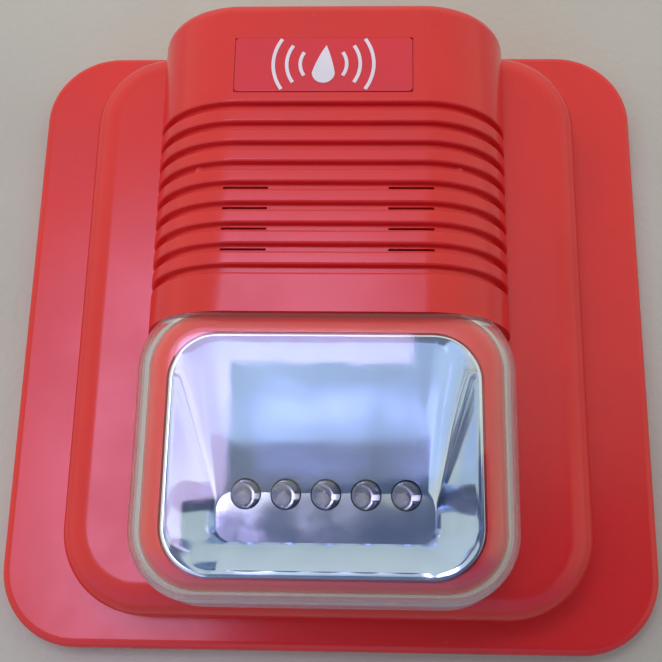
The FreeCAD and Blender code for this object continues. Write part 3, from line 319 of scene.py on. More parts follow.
# %% A recipe for finishes
WEAR_SCALE, DUST_SCALE = 300.0, 900.0
DUST_COLOUR = (0.45, 0.42, 0.38)
DUST_ROUGHNESS = 0.3


def place_effect(tree, group, scale):
    node = tree.nodes.new("ShaderNodeGroup")
    node.node_tree = group
    node.inputs["Scale"].default_value = scale
    return node.outputs[0]


def mix_colours(tree, mask, first, second):
    node = tree.nodes.new("ShaderNodeMix")
    node.data_type = "RGBA"
    tree.links.new(mask, node.inputs["Factor"])
    colour_a, colour_b = [s for s in node.inputs if s.type == "RGBA"][:2]
    for socket, given in ((colour_a, first), (colour_b, second)):
        if isinstance(given, tuple):
            socket.default_value = (*given, 1.0)
        else:
            tree.links.new(given, socket)
    return [s for s in node.outputs if s.type == "RGBA"][0]


def between(tree, mask, lowest, highest):
    node = tree.nodes.new("ShaderNodeMapRange")
    tree.links.new(mask, node.inputs["Value"])
    node.inputs["To Min"].default_value = lowest
    node.inputs["To Max"].default_value = highest
    return node.outputs["Result"]


def make_finish(name, colour, second, gloss, rough, grain=1500.0, depth=0.01, metal=0.0, marks=60.0,
                dust=0.0, wear=None, **plain):
    """Colour drifts to second with handling, roughness runs from gloss to rough. The depth is in mm."""
    material = bpy.data.materials.new(name)
    material.use_nodes = True
    tree = material.node_tree
    shader = tree.nodes["Principled BSDF"]
    handled = place_effect(tree, handling_effect, marks)
    shown = mix_colours(tree, handled, colour, second)
    roughness = between(tree, handled, gloss, rough)
    if wear is not None:
        worn = place_effect(tree, wear_effect, WEAR_SCALE)
        shown = mix_colours(tree, worn, shown, wear)
    if dust:
        lying = math_node(tree, "MULTIPLY", place_effect(tree, dust_effect, DUST_SCALE), dust)
        shown = mix_colours(tree, lying, shown, DUST_COLOUR)
        roughness = math_node(tree, "ADD", roughness, math_node(tree, "MULTIPLY", lying, DUST_ROUGHNESS))
    tree.links.new(shown, shader.inputs["Base Color"])
    tree.links.new(roughness, shader.inputs["Roughness"])
    shader.inputs["Metallic"].default_value = metal
    if depth:
        bump = tree.nodes.new("ShaderNodeBump")
        bump.inputs["Strength"].default_value = 0.5
        bump.inputs["Distance"].default_value = depth * MM
        tree.links.new(place_effect(tree, grain_effect, grain), bump.inputs["Height"])
        tree.links.new(bump.outputs["Normal"], shader.inputs["Normal"])
    for label, number in plain.items():
        shader.inputs[label.replace("_", " ")].default_value = number
    return material


# %% [markdown]
# The housing is injection-moulded red ABS, half gloss, with a fine even grain left by the tool. A
# window lays a soft pink sheen on it, which needs a fairly wide highlight: roughness near 0.25
# rather than a mirror coat. The other plastics differ in colour, grain and gloss.

# %% Plastics and rubber
FINISHES = {}


def keep_finish(slot, *numbers, **more):
    FINISHES[slot] = make_finish(slot, *numbers, **more)


keep_finish("red_plastic", (0.77, 0.026, 0.024), (0.72, 0.023, 0.021), 0.2, 0.27, grain=2600.0,
            depth=0.018, marks=45.0, dust=0.12)
keep_finish("plate_plastic", (0.66, 0.022, 0.022), (0.6, 0.02, 0.02), 0.38, 0.48, grain=1800.0,
            depth=0.05)
# The label film's red is pinker than the housing's. The extra pink is a painted sheen that stands in for
# the pink gloss reflection on the label.
keep_finish("label_film", (0.76, 0.03, 0.05), (0.70, 0.026, 0.045), 0.16, 0.24, grain=900.0, depth=0.01)
keep_finish("white_print", (0.86, 0.84, 0.86), (0.78, 0.76, 0.78), 0.3, 0.42, grain=1200.0, depth=0.02)
keep_finish("black_plastic", (0.018, 0.018, 0.02), (0.03, 0.03, 0.032), 0.3, 0.45, grain=1600.0,
            depth=0.04, dust=0.3)
keep_finish("white_plastic", (0.78, 0.77, 0.73), (0.7, 0.68, 0.63), 0.3, 0.42, grain=1400.0, depth=0.02)
keep_finish("terminal_plastic", (0.032, 0.10, 0.062), (0.026, 0.085, 0.05), 0.3, 0.42, depth=0.04)
keep_finish("foam_rubber", (0.028, 0.028, 0.03), (0.05, 0.05, 0.052), 0.8, 0.95, grain=3200.0, depth=0.25)
keep_finish("red_wire", (0.55, 0.02, 0.02), (0.45, 0.016, 0.018), 0.34, 0.5, depth=0.02)
keep_finish("black_wire", (0.02, 0.02, 0.022), (0.035, 0.035, 0.037), 0.34, 0.5, depth=0.02)
keep_finish("capacitor_sleeve", (0.012, 0.02, 0.055), (0.02, 0.03, 0.07), 0.2, 0.32, depth=0.015)
keep_finish("chip_epoxy", (0.02, 0.02, 0.021), (0.032, 0.032, 0.033), 0.45, 0.6, grain=2600.0, depth=0.05)
keep_finish("chip_ceramic", (0.42, 0.27, 0.16), (0.36, 0.23, 0.14), 0.35, 0.5, depth=0.02)
keep_finish("varistor_coat", (0.02, 0.09, 0.32), (0.018, 0.07, 0.26), 0.22, 0.36, grain=700.0, depth=0.08)
keep_finish("white_ceramic", (0.74, 0.72, 0.66), (0.66, 0.64, 0.58), 0.5, 0.64, grain=2400.0, depth=0.02)
keep_finish("ferrite", (0.05, 0.05, 0.052), (0.075, 0.073, 0.07), 0.55, 0.7, grain=2200.0, depth=0.08)
print("plastics and ceramics", len(FINISHES))

# %% [markdown]
# Metals take their colour from their reflection, so their colour drifts towards tarnish and their
# edges wear bright. Zinc on the screws is a cool grey, brass on the piezo plate is warm, copper
# wire carries a red varnish.

# %% Metals
keep_finish("zinc_screw", (0.62, 0.62, 0.63), (0.5, 0.5, 0.5), 0.26, 0.42, depth=0.02, metal=1.0,
            wear=(0.8, 0.8, 0.8))
keep_finish("tinned_metal", (0.72, 0.72, 0.7), (0.62, 0.61, 0.59), 0.22, 0.38, depth=0.015, metal=1.0)
keep_finish("brass_sheet", (0.78, 0.56, 0.26), (0.66, 0.45, 0.2), 0.24, 0.4, depth=0.012, metal=1.0)
keep_finish("copper_wire", (0.72, 0.27, 0.12), (0.6, 0.21, 0.09), 0.2, 0.34, depth=0.01, metal=1.0)
print("metals", len(FINISHES))

# %% [markdown]
# The circuit board is glass laminate under a green lacquer. Copper tracks lie beneath the lacquer
# as thin lines a shade lighter, here from a brick pattern, whose joints run straight and turn
# square as tracks do.

# %% Board lacquer
TRACKS = {"Scale": 90.0, "Mortar Size": 0.035, "Mortar Smooth": 0.1, "Brick Width": 0.9,
          "Row Height": 0.22}
TRACK_COLOUR = (0.03, 0.24, 0.09)


def make_laminate():
    material = make_finish("green_laminate", (0.012, 0.13, 0.05), (0.01, 0.11, 0.042), 0.22, 0.34,
                           depth=0.02)
    tree = material.node_tree
    shader = tree.nodes["Principled BSDF"]
    place = tree.nodes.new("ShaderNodeTexCoord")
    tracks = tree.nodes.new("ShaderNodeTexBrick")
    for label, number in TRACKS.items():
        tracks.inputs[label].default_value = number
    tree.links.new(place.outputs["Object"], tracks.inputs["Vector"])
    plain = shader.inputs["Base Color"].links[0].from_socket
    shown = mix_colours(tree, tracks.outputs["Fac"], plain, TRACK_COLOUR)
    tree.links.new(shown, shader.inputs["Base Color"])
    return material


FINISHES["green_laminate"] = make_laminate()
print("lacquer over tracks", TRACKS)

# %% [markdown]
# The basin is ABS with a vacuum-metallised aluminium skin. It mirrors, but the skin follows every
# ripple of the plastic below, so its reflections wander: a wide, very shallow bump gives that. A
# cool tint and a roughness near 0.1 soften what it shows.

# %% Mirror finish
RIPPLE_SCALE, RIPPLE_DEPTH = 75.0, 0.35 * MM


def make_mirror():
    material = make_finish("mirror_finish", (0.76, 0.865, 1.0), (0.72, 0.82, 0.96), 0.09, 0.15, metal=1.0,
                           depth=0.0, marks=90.0)
    tree = material.node_tree
    shader = tree.nodes["Principled BSDF"]
    place = tree.nodes.new("ShaderNodeTexCoord")
    ripple = noise(tree, place, RIPPLE_SCALE, detail=1.0)
    bump = tree.nodes.new("ShaderNodeBump")
    bump.inputs["Strength"].default_value = 0.6
    bump.inputs["Distance"].default_value = RIPPLE_DEPTH
    tree.links.new(ripple, bump.inputs["Height"])
    tree.links.new(bump.outputs["Normal"], shader.inputs["Normal"])
    return material


FINISHES["mirror_finish"] = make_mirror()
print("mirror ripple", round(RIPPLE_DEPTH / MM, 2), "mm deep")

# %% [markdown]
# Clear plastic bends light that goes through it. A path tracer finds it hard to bring lamp light
# through bent glass, so for shadow rays only the shader is swapped for a transparent one: light
# then reaches the basin below. The lens's upright wall is a little milky and bends light less than
# its top, and its foot is frosted where it meets the housing.

# %% Clear plastics
CLEAR_MARKS, CLEAR_GRAIN = 70.0, 260.0
CLEAR_DRIFT = 0.04
CLEAR_DEPTH = 0.02 * MM
LENS_SHADOW = (0.93, 0.94, 0.93)
LED_SHADOW = (0.85, 0.85, 0.8)


def make_clear(name, colour, gloss, bend, shadow, milk=0.0):
    """Clear plastic. bend is its index, shadow the light that gets through, milk the share scattered."""
    material = bpy.data.materials.new(name)
    material.use_nodes = True
    tree = material.node_tree
    shader = tree.nodes["Principled BSDF"]
    shader.inputs["Base Color"].default_value = (*colour, 1.0)
    shader.inputs["Transmission Weight"].default_value = 1.0 - milk
    shader.inputs["IOR"].default_value = bend
    handled = place_effect(tree, handling_effect, CLEAR_MARKS)
    tree.links.new(between(tree, handled, gloss, gloss + CLEAR_DRIFT), shader.inputs["Roughness"])
    bump = tree.nodes.new("ShaderNodeBump")
    bump.inputs["Strength"].default_value = 0.3
    bump.inputs["Distance"].default_value = CLEAR_DEPTH
    tree.links.new(place_effect(tree, grain_effect, CLEAR_GRAIN), bump.inputs["Height"])
    tree.links.new(bump.outputs["Normal"], shader.inputs["Normal"])
    open_way = tree.nodes.new("ShaderNodeBsdfTransparent")
    open_way.inputs["Color"].default_value = (*shadow, 1.0)
    path = tree.nodes.new("ShaderNodeLightPath")
    swap = tree.nodes.new("ShaderNodeMixShader")
    tree.links.new(path.outputs["Is Shadow Ray"], swap.inputs[0])
    tree.links.new(shader.outputs[0], swap.inputs[1])
    tree.links.new(open_way.outputs[0], swap.inputs[2])
    tree.links.new(swap.outputs[0], tree.nodes["Material Output"].inputs["Surface"])
    return material


FINISHES["clear_lens"] = make_clear("clear_lens", (0.985, 0.99, 0.98), 0.015, 1.5, LENS_SHADOW)
FINISHES["milky_wall"] = make_clear("milky_wall", (0.93, 0.80, 0.80), 0.22, 1.3, LENS_SHADOW, milk=0.3)
FINISHES["led_epoxy"] = make_clear("led_epoxy", (0.62, 0.74, 0.92), 0.06, 1.5, LED_SHADOW, milk=0.12)
keep_finish("frosted_foot", (0.78, 0.66, 0.58), (0.72, 0.6, 0.52), 0.6, 0.8, depth=0.03)
print("all finishes", len(FINISHES))

# %% [markdown]
# ## Front housing
# The housing is one moulding: a square flange, a stepped plateau and a rounded dome with nine cross
# grooves, some of them cut through for the sound. CAD has its exact shape with every fillet, so
# drawing it again would only lose precision. A copy of that shape is merged into one skin and its
# normals are settled: the flats stay flat, and only the narrow fillets turn the light.

# %% Merge CAD shapes into clean skins


def merged_copy(node):
    """The CAD node's shape as one joined skin, with no stored normals."""
    bm = bmesh.new()
    bm.from_mesh(nodes[node].data)
    for layers in (bm.loops.layers.float_vector, bm.verts.layers.float_vector):
        for layer in list(layers.values()):
            layers.remove(layer)
    mesh = new_mesh(node + "_skin", bm, merge=CAD_MERGE)
    for stored in [a for a in mesh.attributes if "normal" in a.name]:
        mesh.attributes.remove(stored)
    mesh.materials.clear()
    return mesh


slot_of = {row["node"]: row["material_slot"] for row in frame["record"]["subparts"]}
body_of = {node: thing["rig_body"] for node, thing in nodes.items()}


def refine(node, name=None, angle=32.0):
    """A piece with the CAD node's own shape, joined and smoothly shaded."""
    finish_piece(name or node + "_skin", merged_copy(node), slot_of[node], body_of[node], node, angle=angle)


refine("front_housing", "housing_moulding", angle=24.0)

# %% [markdown]
# ## Label
# A thin glossy film lies in a shallow well on the dome, with a white pictogram on it: a flame
# between sound waves. The film is a plate with slightly round corners and a tiny edge, which
# catches the light as a thin line.

# %% Label film and print


def label_film():
    base, top = low("label_plate"), high("label_plate")
    centre = ((base.x + top.x) / 2, (base.y + top.y) / 2)
    half_x, half_y = (top.x - base.x) / 2, (top.y - base.y) / 2
    corner, edge = 0.8 * MM, 0.12 * MM
    soft = edge * 0.3
    stack = [(0.0, base.z), (0.0, top.z - edge), (soft, top.z - soft), (edge, top.z)]
    rings = [round_rectangle(half_x - inset, half_y - inset, corner - inset, level, centre, 8)
             for inset, level in stack]
    bm = bmesh.new()
    skin(bm, rings)
    return new_mesh("label_film", bm)


finish_piece("label_film", label_film(), "label_film", "front_unit", "label_plate")
refine("label_mark", "label_pictogram")

# %% [markdown]
# ## Lens
# The lens is a clear polycarbonate cap with thick walls and large round edges. A ball rolled round
# the inside of its edge would touch everywhere, so each ring of the edge is the outline moved
# inwards by the ball's own curve. The inner skin is the same outline moved in by the wall, and the
# two meet in a flat foot: that real thickness is what makes the pale band round the lens. The far
# end is cut square where it meets the dome, and the dome hides the part of the outline that is cut
# off.

# %% Rings and ends of the lens cap
CAP = {"wall": 1.8 * MM, "corner": 12.0 * MM, "edge": 8.0 * MM, "cut_off": 3.8 * MM, "arc": 16,
       "steps": 14}
UPRIGHT = 0.35
LOOKS_DOWN = -0.99


def cap_rings(half_x, half_y, corner, edge, bottom, top, centre):
    """Rings up an upright wall and over a round edge of the given radius."""
    arc, steps = CAP["arc"], CAP["steps"]
    rings = [round_rectangle(half_x, half_y, corner, bottom, centre, arc)]
    for step in range(steps + 1):
        angle = math.pi / 2 * step / steps
        inset = edge * (1 - math.cos(angle))
        level = top - edge * (1 - math.sin(angle))
        rings.append(round_rectangle(half_x - inset, half_y - inset, corner - inset, level, centre, arc))
    return rings


def close_flat(bm, axis, level, ends):
    """Fill the open outline in one plane. ends are the two short lines that the outline still lacks."""
    outline = [e for e in bm.edges
               if e.is_boundary and all(abs(v.co[axis] - level) < SAME_LEVEL for v in e.verts)]
    bmesh.ops.triangle_fill(bm, use_beauty=True, use_dissolve=False, edges=list(set(outline + ends)))


print("lens wall", round(CAP["wall"] / MM, 2), "mm, round edge", round(CAP["edge"] / MM, 2), "mm")

# %% Build the lens cap


def lens_cap():
    base, top = low("lens"), high("lens")
    wall, corner, edge = CAP["wall"], CAP["corner"], CAP["edge"]
    full_end = top.y + CAP["cut_off"]
    half_x, half_y = (top.x - base.x) / 2, (full_end - base.y) / 2
    centre = (0.0, full_end - half_y)
    bm = bmesh.new()
    skin(bm, cap_rings(half_x, half_y, corner, edge, base.z, top.z, centre), close_first=False)
    inner = cap_rings(half_x - wall, half_y - wall, corner - wall, edge - wall, base.z, top.z - wall,
                      centre)
    skin(bm, inner, close_first=False)
    bmesh.ops.bisect_plane(bm, geom=bm.verts[:] + bm.edges[:] + bm.faces[:], plane_co=(0.0, top.y, 0.0),
                           plane_no=(0.0, 1.0, 0.0), clear_outer=True, dist=SAME_PLACE)
    ends = [v for v in bm.verts
            if abs(v.co.z - base.z) < SAME_LEVEL and abs(v.co.y - top.y) < SAME_LEVEL]
    ends.sort(key=lambda v: v.co.x)
    short = [bm.edges.new(ends[:2]), bm.edges.new(ends[-2:])]
    close_flat(bm, 2, base.z, short)
    close_flat(bm, 1, top.y, short)
    bmesh.ops.recalc_face_normals(bm, faces=bm.faces[:])
    print("lens edges still open", sum(not e.is_manifold for e in bm.edges), "ends", len(ends))
    mesh = new_mesh("lens_cap", bm)
    for finish in ("clear_lens", "frosted_foot", "milky_wall"):
        mesh.materials.append(FINISHES[finish])
    for face in mesh.polygons:
        if face.normal.z < LOOKS_DOWN and face.center.z < base.z + 10 * SAME_LEVEL:
            face.material_index = 1
        elif abs(face.normal.z) < UPRIGHT:
            face.material_index = 2
    return mesh


finish_piece("lens_cap", lens_cap(), "clear_lens", "front_unit", "lens", angle=35.0)

# %% [markdown]
# ## Light basin
# Under the lens lies a chromed basin with a flat rim. Its floor holds the row of LEDs near the
# lower edge, so the wall above the row is long and slopes gently, and the three others are steep.
# The walls are slightly hollow, like a spoon, to throw the light forwards. Each ring from rim to
# floor is a round-cornered rectangle between the two outlines, and its depth follows a curve that
# starts steep and ends flat.

# %% Shape of the basin
rim_low, rim_high = low("reflector"), high("reflector")
basin = {
    "rim_centre": Vector(((rim_low.x + rim_high.x) / 2, (rim_low.y + rim_high.y) / 2)),
    "rim_half": Vector(((rim_high.x - rim_low.x) / 2, (rim_high.y - rim_low.y) / 2)),
    "rim_corner": 8.0 * MM,
    "rim_face": 0.75 * MM,
    "rim_thick": 1.2 * MM,
    "wall": 0.6 * MM,
    "floor_centre": Vector((middle("strobe_led_3").x, middle("strobe_led_3").y - 4.0 * MM)),
    "floor_half": Vector((19.0 * MM, 4.3 * MM)),
    "floor_corner": 3.0 * MM,
    "floor_level": 17.0 * MM,
    "hollow": 0.55,
    "lip": 0.25 * MM,
    "under_wall": 0.3 * MM,
    "steps": 26,
    "arc": 14,
}
led_pitch = middle("strobe_led_2").x - middle("strobe_led_1").x
led_count = sum(node.startswith("strobe_led_") for node in nodes)


def basin_depth(travel):
    """Share of the full depth at a share of the way in from the rim to the floor."""
    bent = math.sin(math.pi / 2 * travel)
    return (1 - basin["hollow"]) * travel + basin["hollow"] * bent


def basin_ring(travel, offset=0.0):
    """A ring of the basin's wall. offset moves it outwards."""
    start_half = basin["rim_half"] - Vector((basin["rim_face"],) * 2)
    half = start_half.lerp(basin["floor_half"], travel) + Vector((offset,) * 2)
    centre = basin["rim_centre"].lerp(basin["floor_centre"], travel)
    start_corner = basin["rim_corner"] - basin["rim_face"]
    corner = start_corner + (basin["floor_corner"] - start_corner) * travel + offset
    depth = (rim_high.z - basin["floor_level"]) * basin_depth(travel)
    return round_rectangle(half.x, half.y, corner, rim_high.z - depth, centre, basin["arc"])


def rim_ring(inset, level):
    half, corner = basin["rim_half"] - Vector((inset,) * 2), basin["rim_corner"] - inset
    return round_rectangle(half.x, half.y, corner, level, basin["rim_centre"], basin["arc"])


print("basin rim", [round(v / MM, 1) for v in basin["rim_half"] * 2], "leds", led_count, "pitch",
      round(led_pitch / MM, 2))

# %% [markdown]
# The basin is one closed solid: up the outside, over the rim and down the inside. The outside stays
# nearer to the wall than the rim is wide. If it were wider, the skin would cross itself and the
# holes couldn't be cut.

# %% Build the basin


def basin_solid():
    """The basin as one closed solid, before the LED holes."""
    bm = bmesh.new()
    steps = [step / basin["steps"] for step in range(basin["steps"] + 1)]
    lip = basin["lip"]
    under = rim_high.z - basin["rim_thick"]
    floor_under = basin["floor_level"] - basin["wall"]
    upper = [rim_ring(0.0, under), rim_ring(0.0, rim_high.z - lip),
             rim_ring(lip * 0.3, rim_high.z - lip * 0.3), rim_ring(lip, rim_high.z),
             rim_ring(basin["rim_face"] - lip, rim_high.z)]
    upper += [basin_ring(travel) for travel in steps[1:]]
    lower = []
    for travel in steps:
        ring = basin_ring(travel, basin["wall"])
        lower.append([Vector((p.x, p.y, min(under, max(floor_under, p.z - basin["under_wall"]))))
                      for p in ring])
    skin(bm, list(reversed(lower)) + upper)
    return bm


def wall_level(y):
    """Height of the long upper wall at a place along Y, on the middle of the basin."""
    first = basin["rim_centre"].y + basin["rim_half"].y - basin["rim_face"]
    last = basin["floor_centre"].y + basin["floor_half"].y
    travel = min(1.0, max(0.0, (y - first) / (last - first)))
    return rim_high.z - (rim_high.z - basin["floor_level"]) * basin_depth(travel)


print("basin", round((rim_high.z - basin["floor_level"]) / MM, 1), "mm deep")

# %% [markdown]
# The LED holes are cut with a Boolean. Two hollow posts under the long wall take the screws that
# hold the basin down on the board.

# %% Drill the basin and stand it on posts
DRILL = {"radius": 2.7 * MM, "below": 3.0 * MM, "above": 6.0 * MM}
POST = {"bore": 1.4 * MM, "radius": 2.4 * MM, "bore_depth": 4.0 * MM, "under_wall": 0.7 * MM,
        "points": 32}
SMALL_SCREW = {"head": 2.4 * MM, "head_thick": 1.6 * MM, "shank": 1.25 * MM, "length": 5.0 * MM}


def cut_from(mesh, cutter, name, crossing=False):
    """Cut one closed mesh out of another. crossing says that the cutter runs through itself."""
    thing, tool = add_object(name, mesh), add_object(name + "_tool", cutter)
    modifier = thing.modifiers.new("cut", "BOOLEAN")
    modifier.operation, modifier.solver, modifier.object = "DIFFERENCE", "EXACT", tool
    modifier.use_self = crossing
    made = evaluated_mesh(thing)
    for item in (thing, tool):
        bpy.data.objects.remove(item)
    return made


def light_basin():
    holes = bmesh.new()
    for number in range(led_count):
        place = middle("strobe_led_%d" % (number + 1))
        skin(holes, [circle(DRILL["radius"], basin["floor_level"] + level, place)
                     for level in (-DRILL["below"], DRILL["above"])])
    drilled = cut_from(new_mesh("basin", basin_solid()), new_mesh("basin_holes", holes), "basin_drilled")
    bm = bmesh.new()
    bm.from_mesh(drilled)
    post_x, post_y = high("reflector_screws").x - SMALL_SCREW["head"], middle("reflector_screws").y
    for side in (-1, 1):
        add_post(bm, side * post_x, post_y)
    return new_mesh("light_basin", bm)


def add_post(bm, x, y):
    """A hollow post from the board up to the underside of the wall, for a screw from below."""
    base, bore, outer, points = rim_low.z, POST["bore"], POST["radius"], POST["points"]
    crown = [Vector((p.x, p.y, wall_level(p.y) - POST["under_wall"]))
             for p in circle(outer, 0.0, (x, y), points)]
    skin(bm, [circle(bore, base + POST["bore_depth"], (x, y), points), circle(bore, base, (x, y), points),
              circle(outer, base, (x, y), points), crown])


finish_piece("light_basin", light_basin(), "mirror_finish", "front_unit", "reflector", angle=38.0)

# %% [markdown]
# ## LEDs by Geometry Nodes
# Five equal LEDs stand in one straight row with equal gaps: a rule, so a small node tree makes
# them. It lays a line of points, puts the same LED on each, and turns the copies into plain mesh,
# because an export keeps only real geometry. The number and the pitch are inputs of the tree.

# %% A workshop for node trees


class Tree:
    """A geometry node tree with named number inputs."""

    def __init__(self, name, **inputs):
        self.group = bpy.data.node_groups.new(name, "GeometryNodeTree")
        self.group.interface.new_socket("Geometry", in_out="INPUT", socket_type="NodeSocketGeometry")
        self.group.interface.new_socket("Geometry", in_out="OUTPUT", socket_type="NodeSocketGeometry")
        self.given = {}
        for label, number in inputs.items():
            kind = "NodeSocketInt" if isinstance(number, int) else "NodeSocketFloat"
            if isinstance(number, (tuple, Vector)):
                kind = "NodeSocketVector"
            socket = self.group.interface.new_socket(label, in_out="INPUT", socket_type=kind)
            self.given[label] = (socket.identifier, number)
        self.start = self.group.nodes.new("NodeGroupInput")
        self.end = self.group.nodes.new("NodeGroupOutput")

    def input(self, label):
        return self.start.outputs[label]

    def node(self, kind, links=None, **values):
        """Add a node. links feed its inputs by name or number; values set its own properties."""
        made = self.group.nodes.new(kind)
        for label, given in values.items():
            setattr(made, label, given)
        for label, given in (links or {}).items():
            socket = made.inputs[label]
            if isinstance(given, bpy.types.NodeSocket):
                self.group.links.new(given, socket)
            else:
                socket.default_value = given
        return made

    def make(self, name, geometry, material=None):
        """End the tree, run it on an empty mesh and return the plain mesh."""
        real = self.node("GeometryNodeRealizeInstances", {"Geometry": geometry})
        last = real.outputs[0]
        if material is not None:
            last = self.node("GeometryNodeSetMaterial", {"Geometry": last, "Material": material}).outputs[0]
        self.group.links.new(last, self.end.inputs["Geometry"])
        bench = add_object(name + "_bench", bpy.data.meshes.new(name))
        modifier = bench.modifiers.new("tree", "NODES")
        modifier.node_group = self.group
        for identifier, number in self.given.values():
            modifier[identifier] = number
        mesh = evaluated_mesh(bench)
        mesh.name = name
        bpy.data.objects.remove(bench)
        return mesh


def pattern_piece(name, mesh):
    """A hidden object that holds a shape for a tree to repeat."""
    thing = add_object(name, mesh)
    thing.hide_render = True
    thing.hide_viewport = True
    return thing


def along_line(name, pattern, count, first, step, material):
    """Repeat a pattern object along a straight line, by Geometry Nodes."""
    tree = Tree(name + "_tree", Count=count, First=tuple(first), Step=tuple(step))
    given = {"Count": tree.input("Count"), "Start Location": tree.input("First"),
             "Offset": tree.input("Step")}
    line = tree.node("GeometryNodeMeshLine", given, mode="OFFSET")
    shape = tree.node("GeometryNodeObjectInfo", {"Object": pattern})
    copies = tree.node("GeometryNodeInstanceOnPoints",
                       {"Points": line.outputs[0], "Instance": shape.outputs["Geometry"]})
    mesh = tree.make(name, copies.outputs[0], material)
    bpy.data.objects.remove(pattern)
    return mesh


print("node trees so far", len(bpy.data.node_groups))

# %% [markdown]
# An LED is a smoky clear epoxy bullet with a flange. In it stand two metal posts, and one carries a
# small cup with the yellow phosphor. The profiles below are pairs of a radius and a level above the
# flange, in mm.

# %% Shapes of one LED
LED = {"flange": 2.9 * MM, "flange_thick": 1.0 * MM, "barrel": 2.5 * MM, "dome_steps": 12}
CUP = ((0.75, 3.2), (1.05, 4.7), (0.9, 4.7), (0.5, 3.9))
PHOSPHOR = ((0.3, 3.92), (0.55, 4.72), (0.4, 4.8), (0.15, 4.84))
POSTS = ((-1.27, 3.4), (1.27, 4.6))


def led_body():
    """The clear epoxy: a flange, a straight barrel and a domed top."""
    base, top = low("strobe_led_1").z, high("strobe_led_1").z
    flange, barrel = LED["flange"], LED["barrel"]
    shoulder = base + LED["flange_thick"]
    rings = [circle(flange, base), circle(flange, shoulder), circle(barrel, shoulder),
             circle(barrel, top - barrel)]
    for step in range(1, LED["dome_steps"]):
        angle = math.pi / 2 * step / LED["dome_steps"]
        rings.append(circle(barrel * math.cos(angle), top - barrel + barrel * math.sin(angle)))
    bm = bmesh.new()
    skin(bm, rings)
    return new_mesh("led_body", bm)


def led_frame():
    """The lead frame in the epoxy: a post with a small cup, and the thinner post beside it."""
    base = low("strobe_led_1").z
    bm = bmesh.new()
    for x, height in POSTS:
        skin(bm, [round_rectangle(0.25 * MM, 0.25 * MM, 0.05 * MM, base + level * MM, (x * MM, 0.0), 2)
                  for level in (0.3, height)])
    skin(bm, [circle(r * MM, base + z * MM, (-0.45 * MM, 0.0), 24) for r, z in CUP])
    skin(bm, [round_rectangle(0.5 * MM, 0.25 * MM, 0.1 * MM, base + level * MM, (0.95 * MM, 0.0), 2)
              for level in (4.3, 4.9)])
    return new_mesh("led_frame", bm)


def led_phosphor():
    base = low("strobe_led_1").z
    bm = bmesh.new()
    skin(bm, [circle(r * MM, base + z * MM, (-0.3 * MM, -0.15 * MM), 24) for r, z in PHOSPHOR])
    return new_mesh("led_phosphor", bm)


print("an LED is", round((high("strobe_led_1").z - low("strobe_led_1").z) / MM, 2), "mm tall")

# %% Build the row of LEDs
keep_finish("phosphor", (0.52, 0.5, 0.36), (0.46, 0.44, 0.3), 0.4, 0.5, depth=0.01)
first_led = Vector((middle("strobe_led_1").x, middle("strobe_led_1").y, 0.0))
led_step = Vector((led_pitch, 0.0, 0.0))
led_names = sorted(node for node in nodes if node.startswith("strobe_led_"))
led_parts = (("led_bodies", led_body, "led_epoxy", led_names),
             ("led_frames", led_frame, "tinned_metal", []),
             ("led_phosphors", led_phosphor, "phosphor", []))
for name, build, finish, stands_for in led_parts:
    row = along_line(name, pattern_piece(name + "_pattern", build()), led_count, first_led, led_step,
                     FINISHES[finish])
    slot = finish if finish in slot_of.values() else "led_epoxy"
    finish_piece(name, row, slot, "front_unit", *stands_for, angle=40.0)

# %% [markdown]
# ## Screws by Geometry Nodes
# The small screws are all one kind: a pan head with a cross recess and a short thread. One is built
# as a pattern, and a node tree puts it on every screw place of a node. The places are the corners
# of the node's box, drawn in by the head's radius. The four clamp screws ride on bodies of their
# own, so each is a piece by itself.

# %% A pan-head screw
THREADS = 8
CROSS_LONG, CROSS_WIDE = 0.62, 0.13


def pan_screw(name, head, head_thick, shank, length, upward):
    """A screw whose head bears at level 0, and stands above it when upward is true.

    The profiles are shares of the head's radius and thickness, and of the thread's radius and pitch.
    """
    side = 1 if upward else -1
    soft = head_thick * 0.3
    profile = [(head * 0.97, 0.0), (head, head_thick * 0.12), (head, head_thick - soft),
               (head - soft * 0.35, head_thick - soft * 0.3), (head - soft * 1.2, head_thick)]
    rings = [circle(radius, side * level, count=40) for radius, level in profile]
    thread = []
    for turn in range(THREADS):
        thread += [(shank * share, -length * (turn + along) / THREADS)
                   for share, along in ((0.8, 0.0), (1.0, 0.35), (1.0, 0.5), (0.8, 0.85))]
    thread.append((shank * 0.5, -length))
    shaft = [circle(radius, side * level, count=40) for radius, level in reversed(thread)]
    bm = bmesh.new()
    skin(bm, shaft + rings)
    if not upward:
        bmesh.ops.reverse_faces(bm, faces=bm.faces[:])
    cross = bmesh.new()
    for across, along in ((CROSS_LONG, CROSS_WIDE), (CROSS_WIDE, CROSS_LONG)):
        half_x, half_y = head * across, head * along
        bar = bmesh.new()
        skin(bar, [round_rectangle(half_x * grow, half_y * grow, half_y * 0.3,
                                   side * head_thick * level, arc=2)
                   for level, grow in ((0.4, 0.75), (1.3, 1.05))])
        bmesh.ops.recalc_face_normals(bar, faces=bar.faces[:])
        cross.from_mesh(new_mesh(name + "_bar", bar))
    return cut_from(new_mesh(name + "_whole", bm), new_mesh(name + "_cross", cross), name + "_blank",
                    crossing=True)


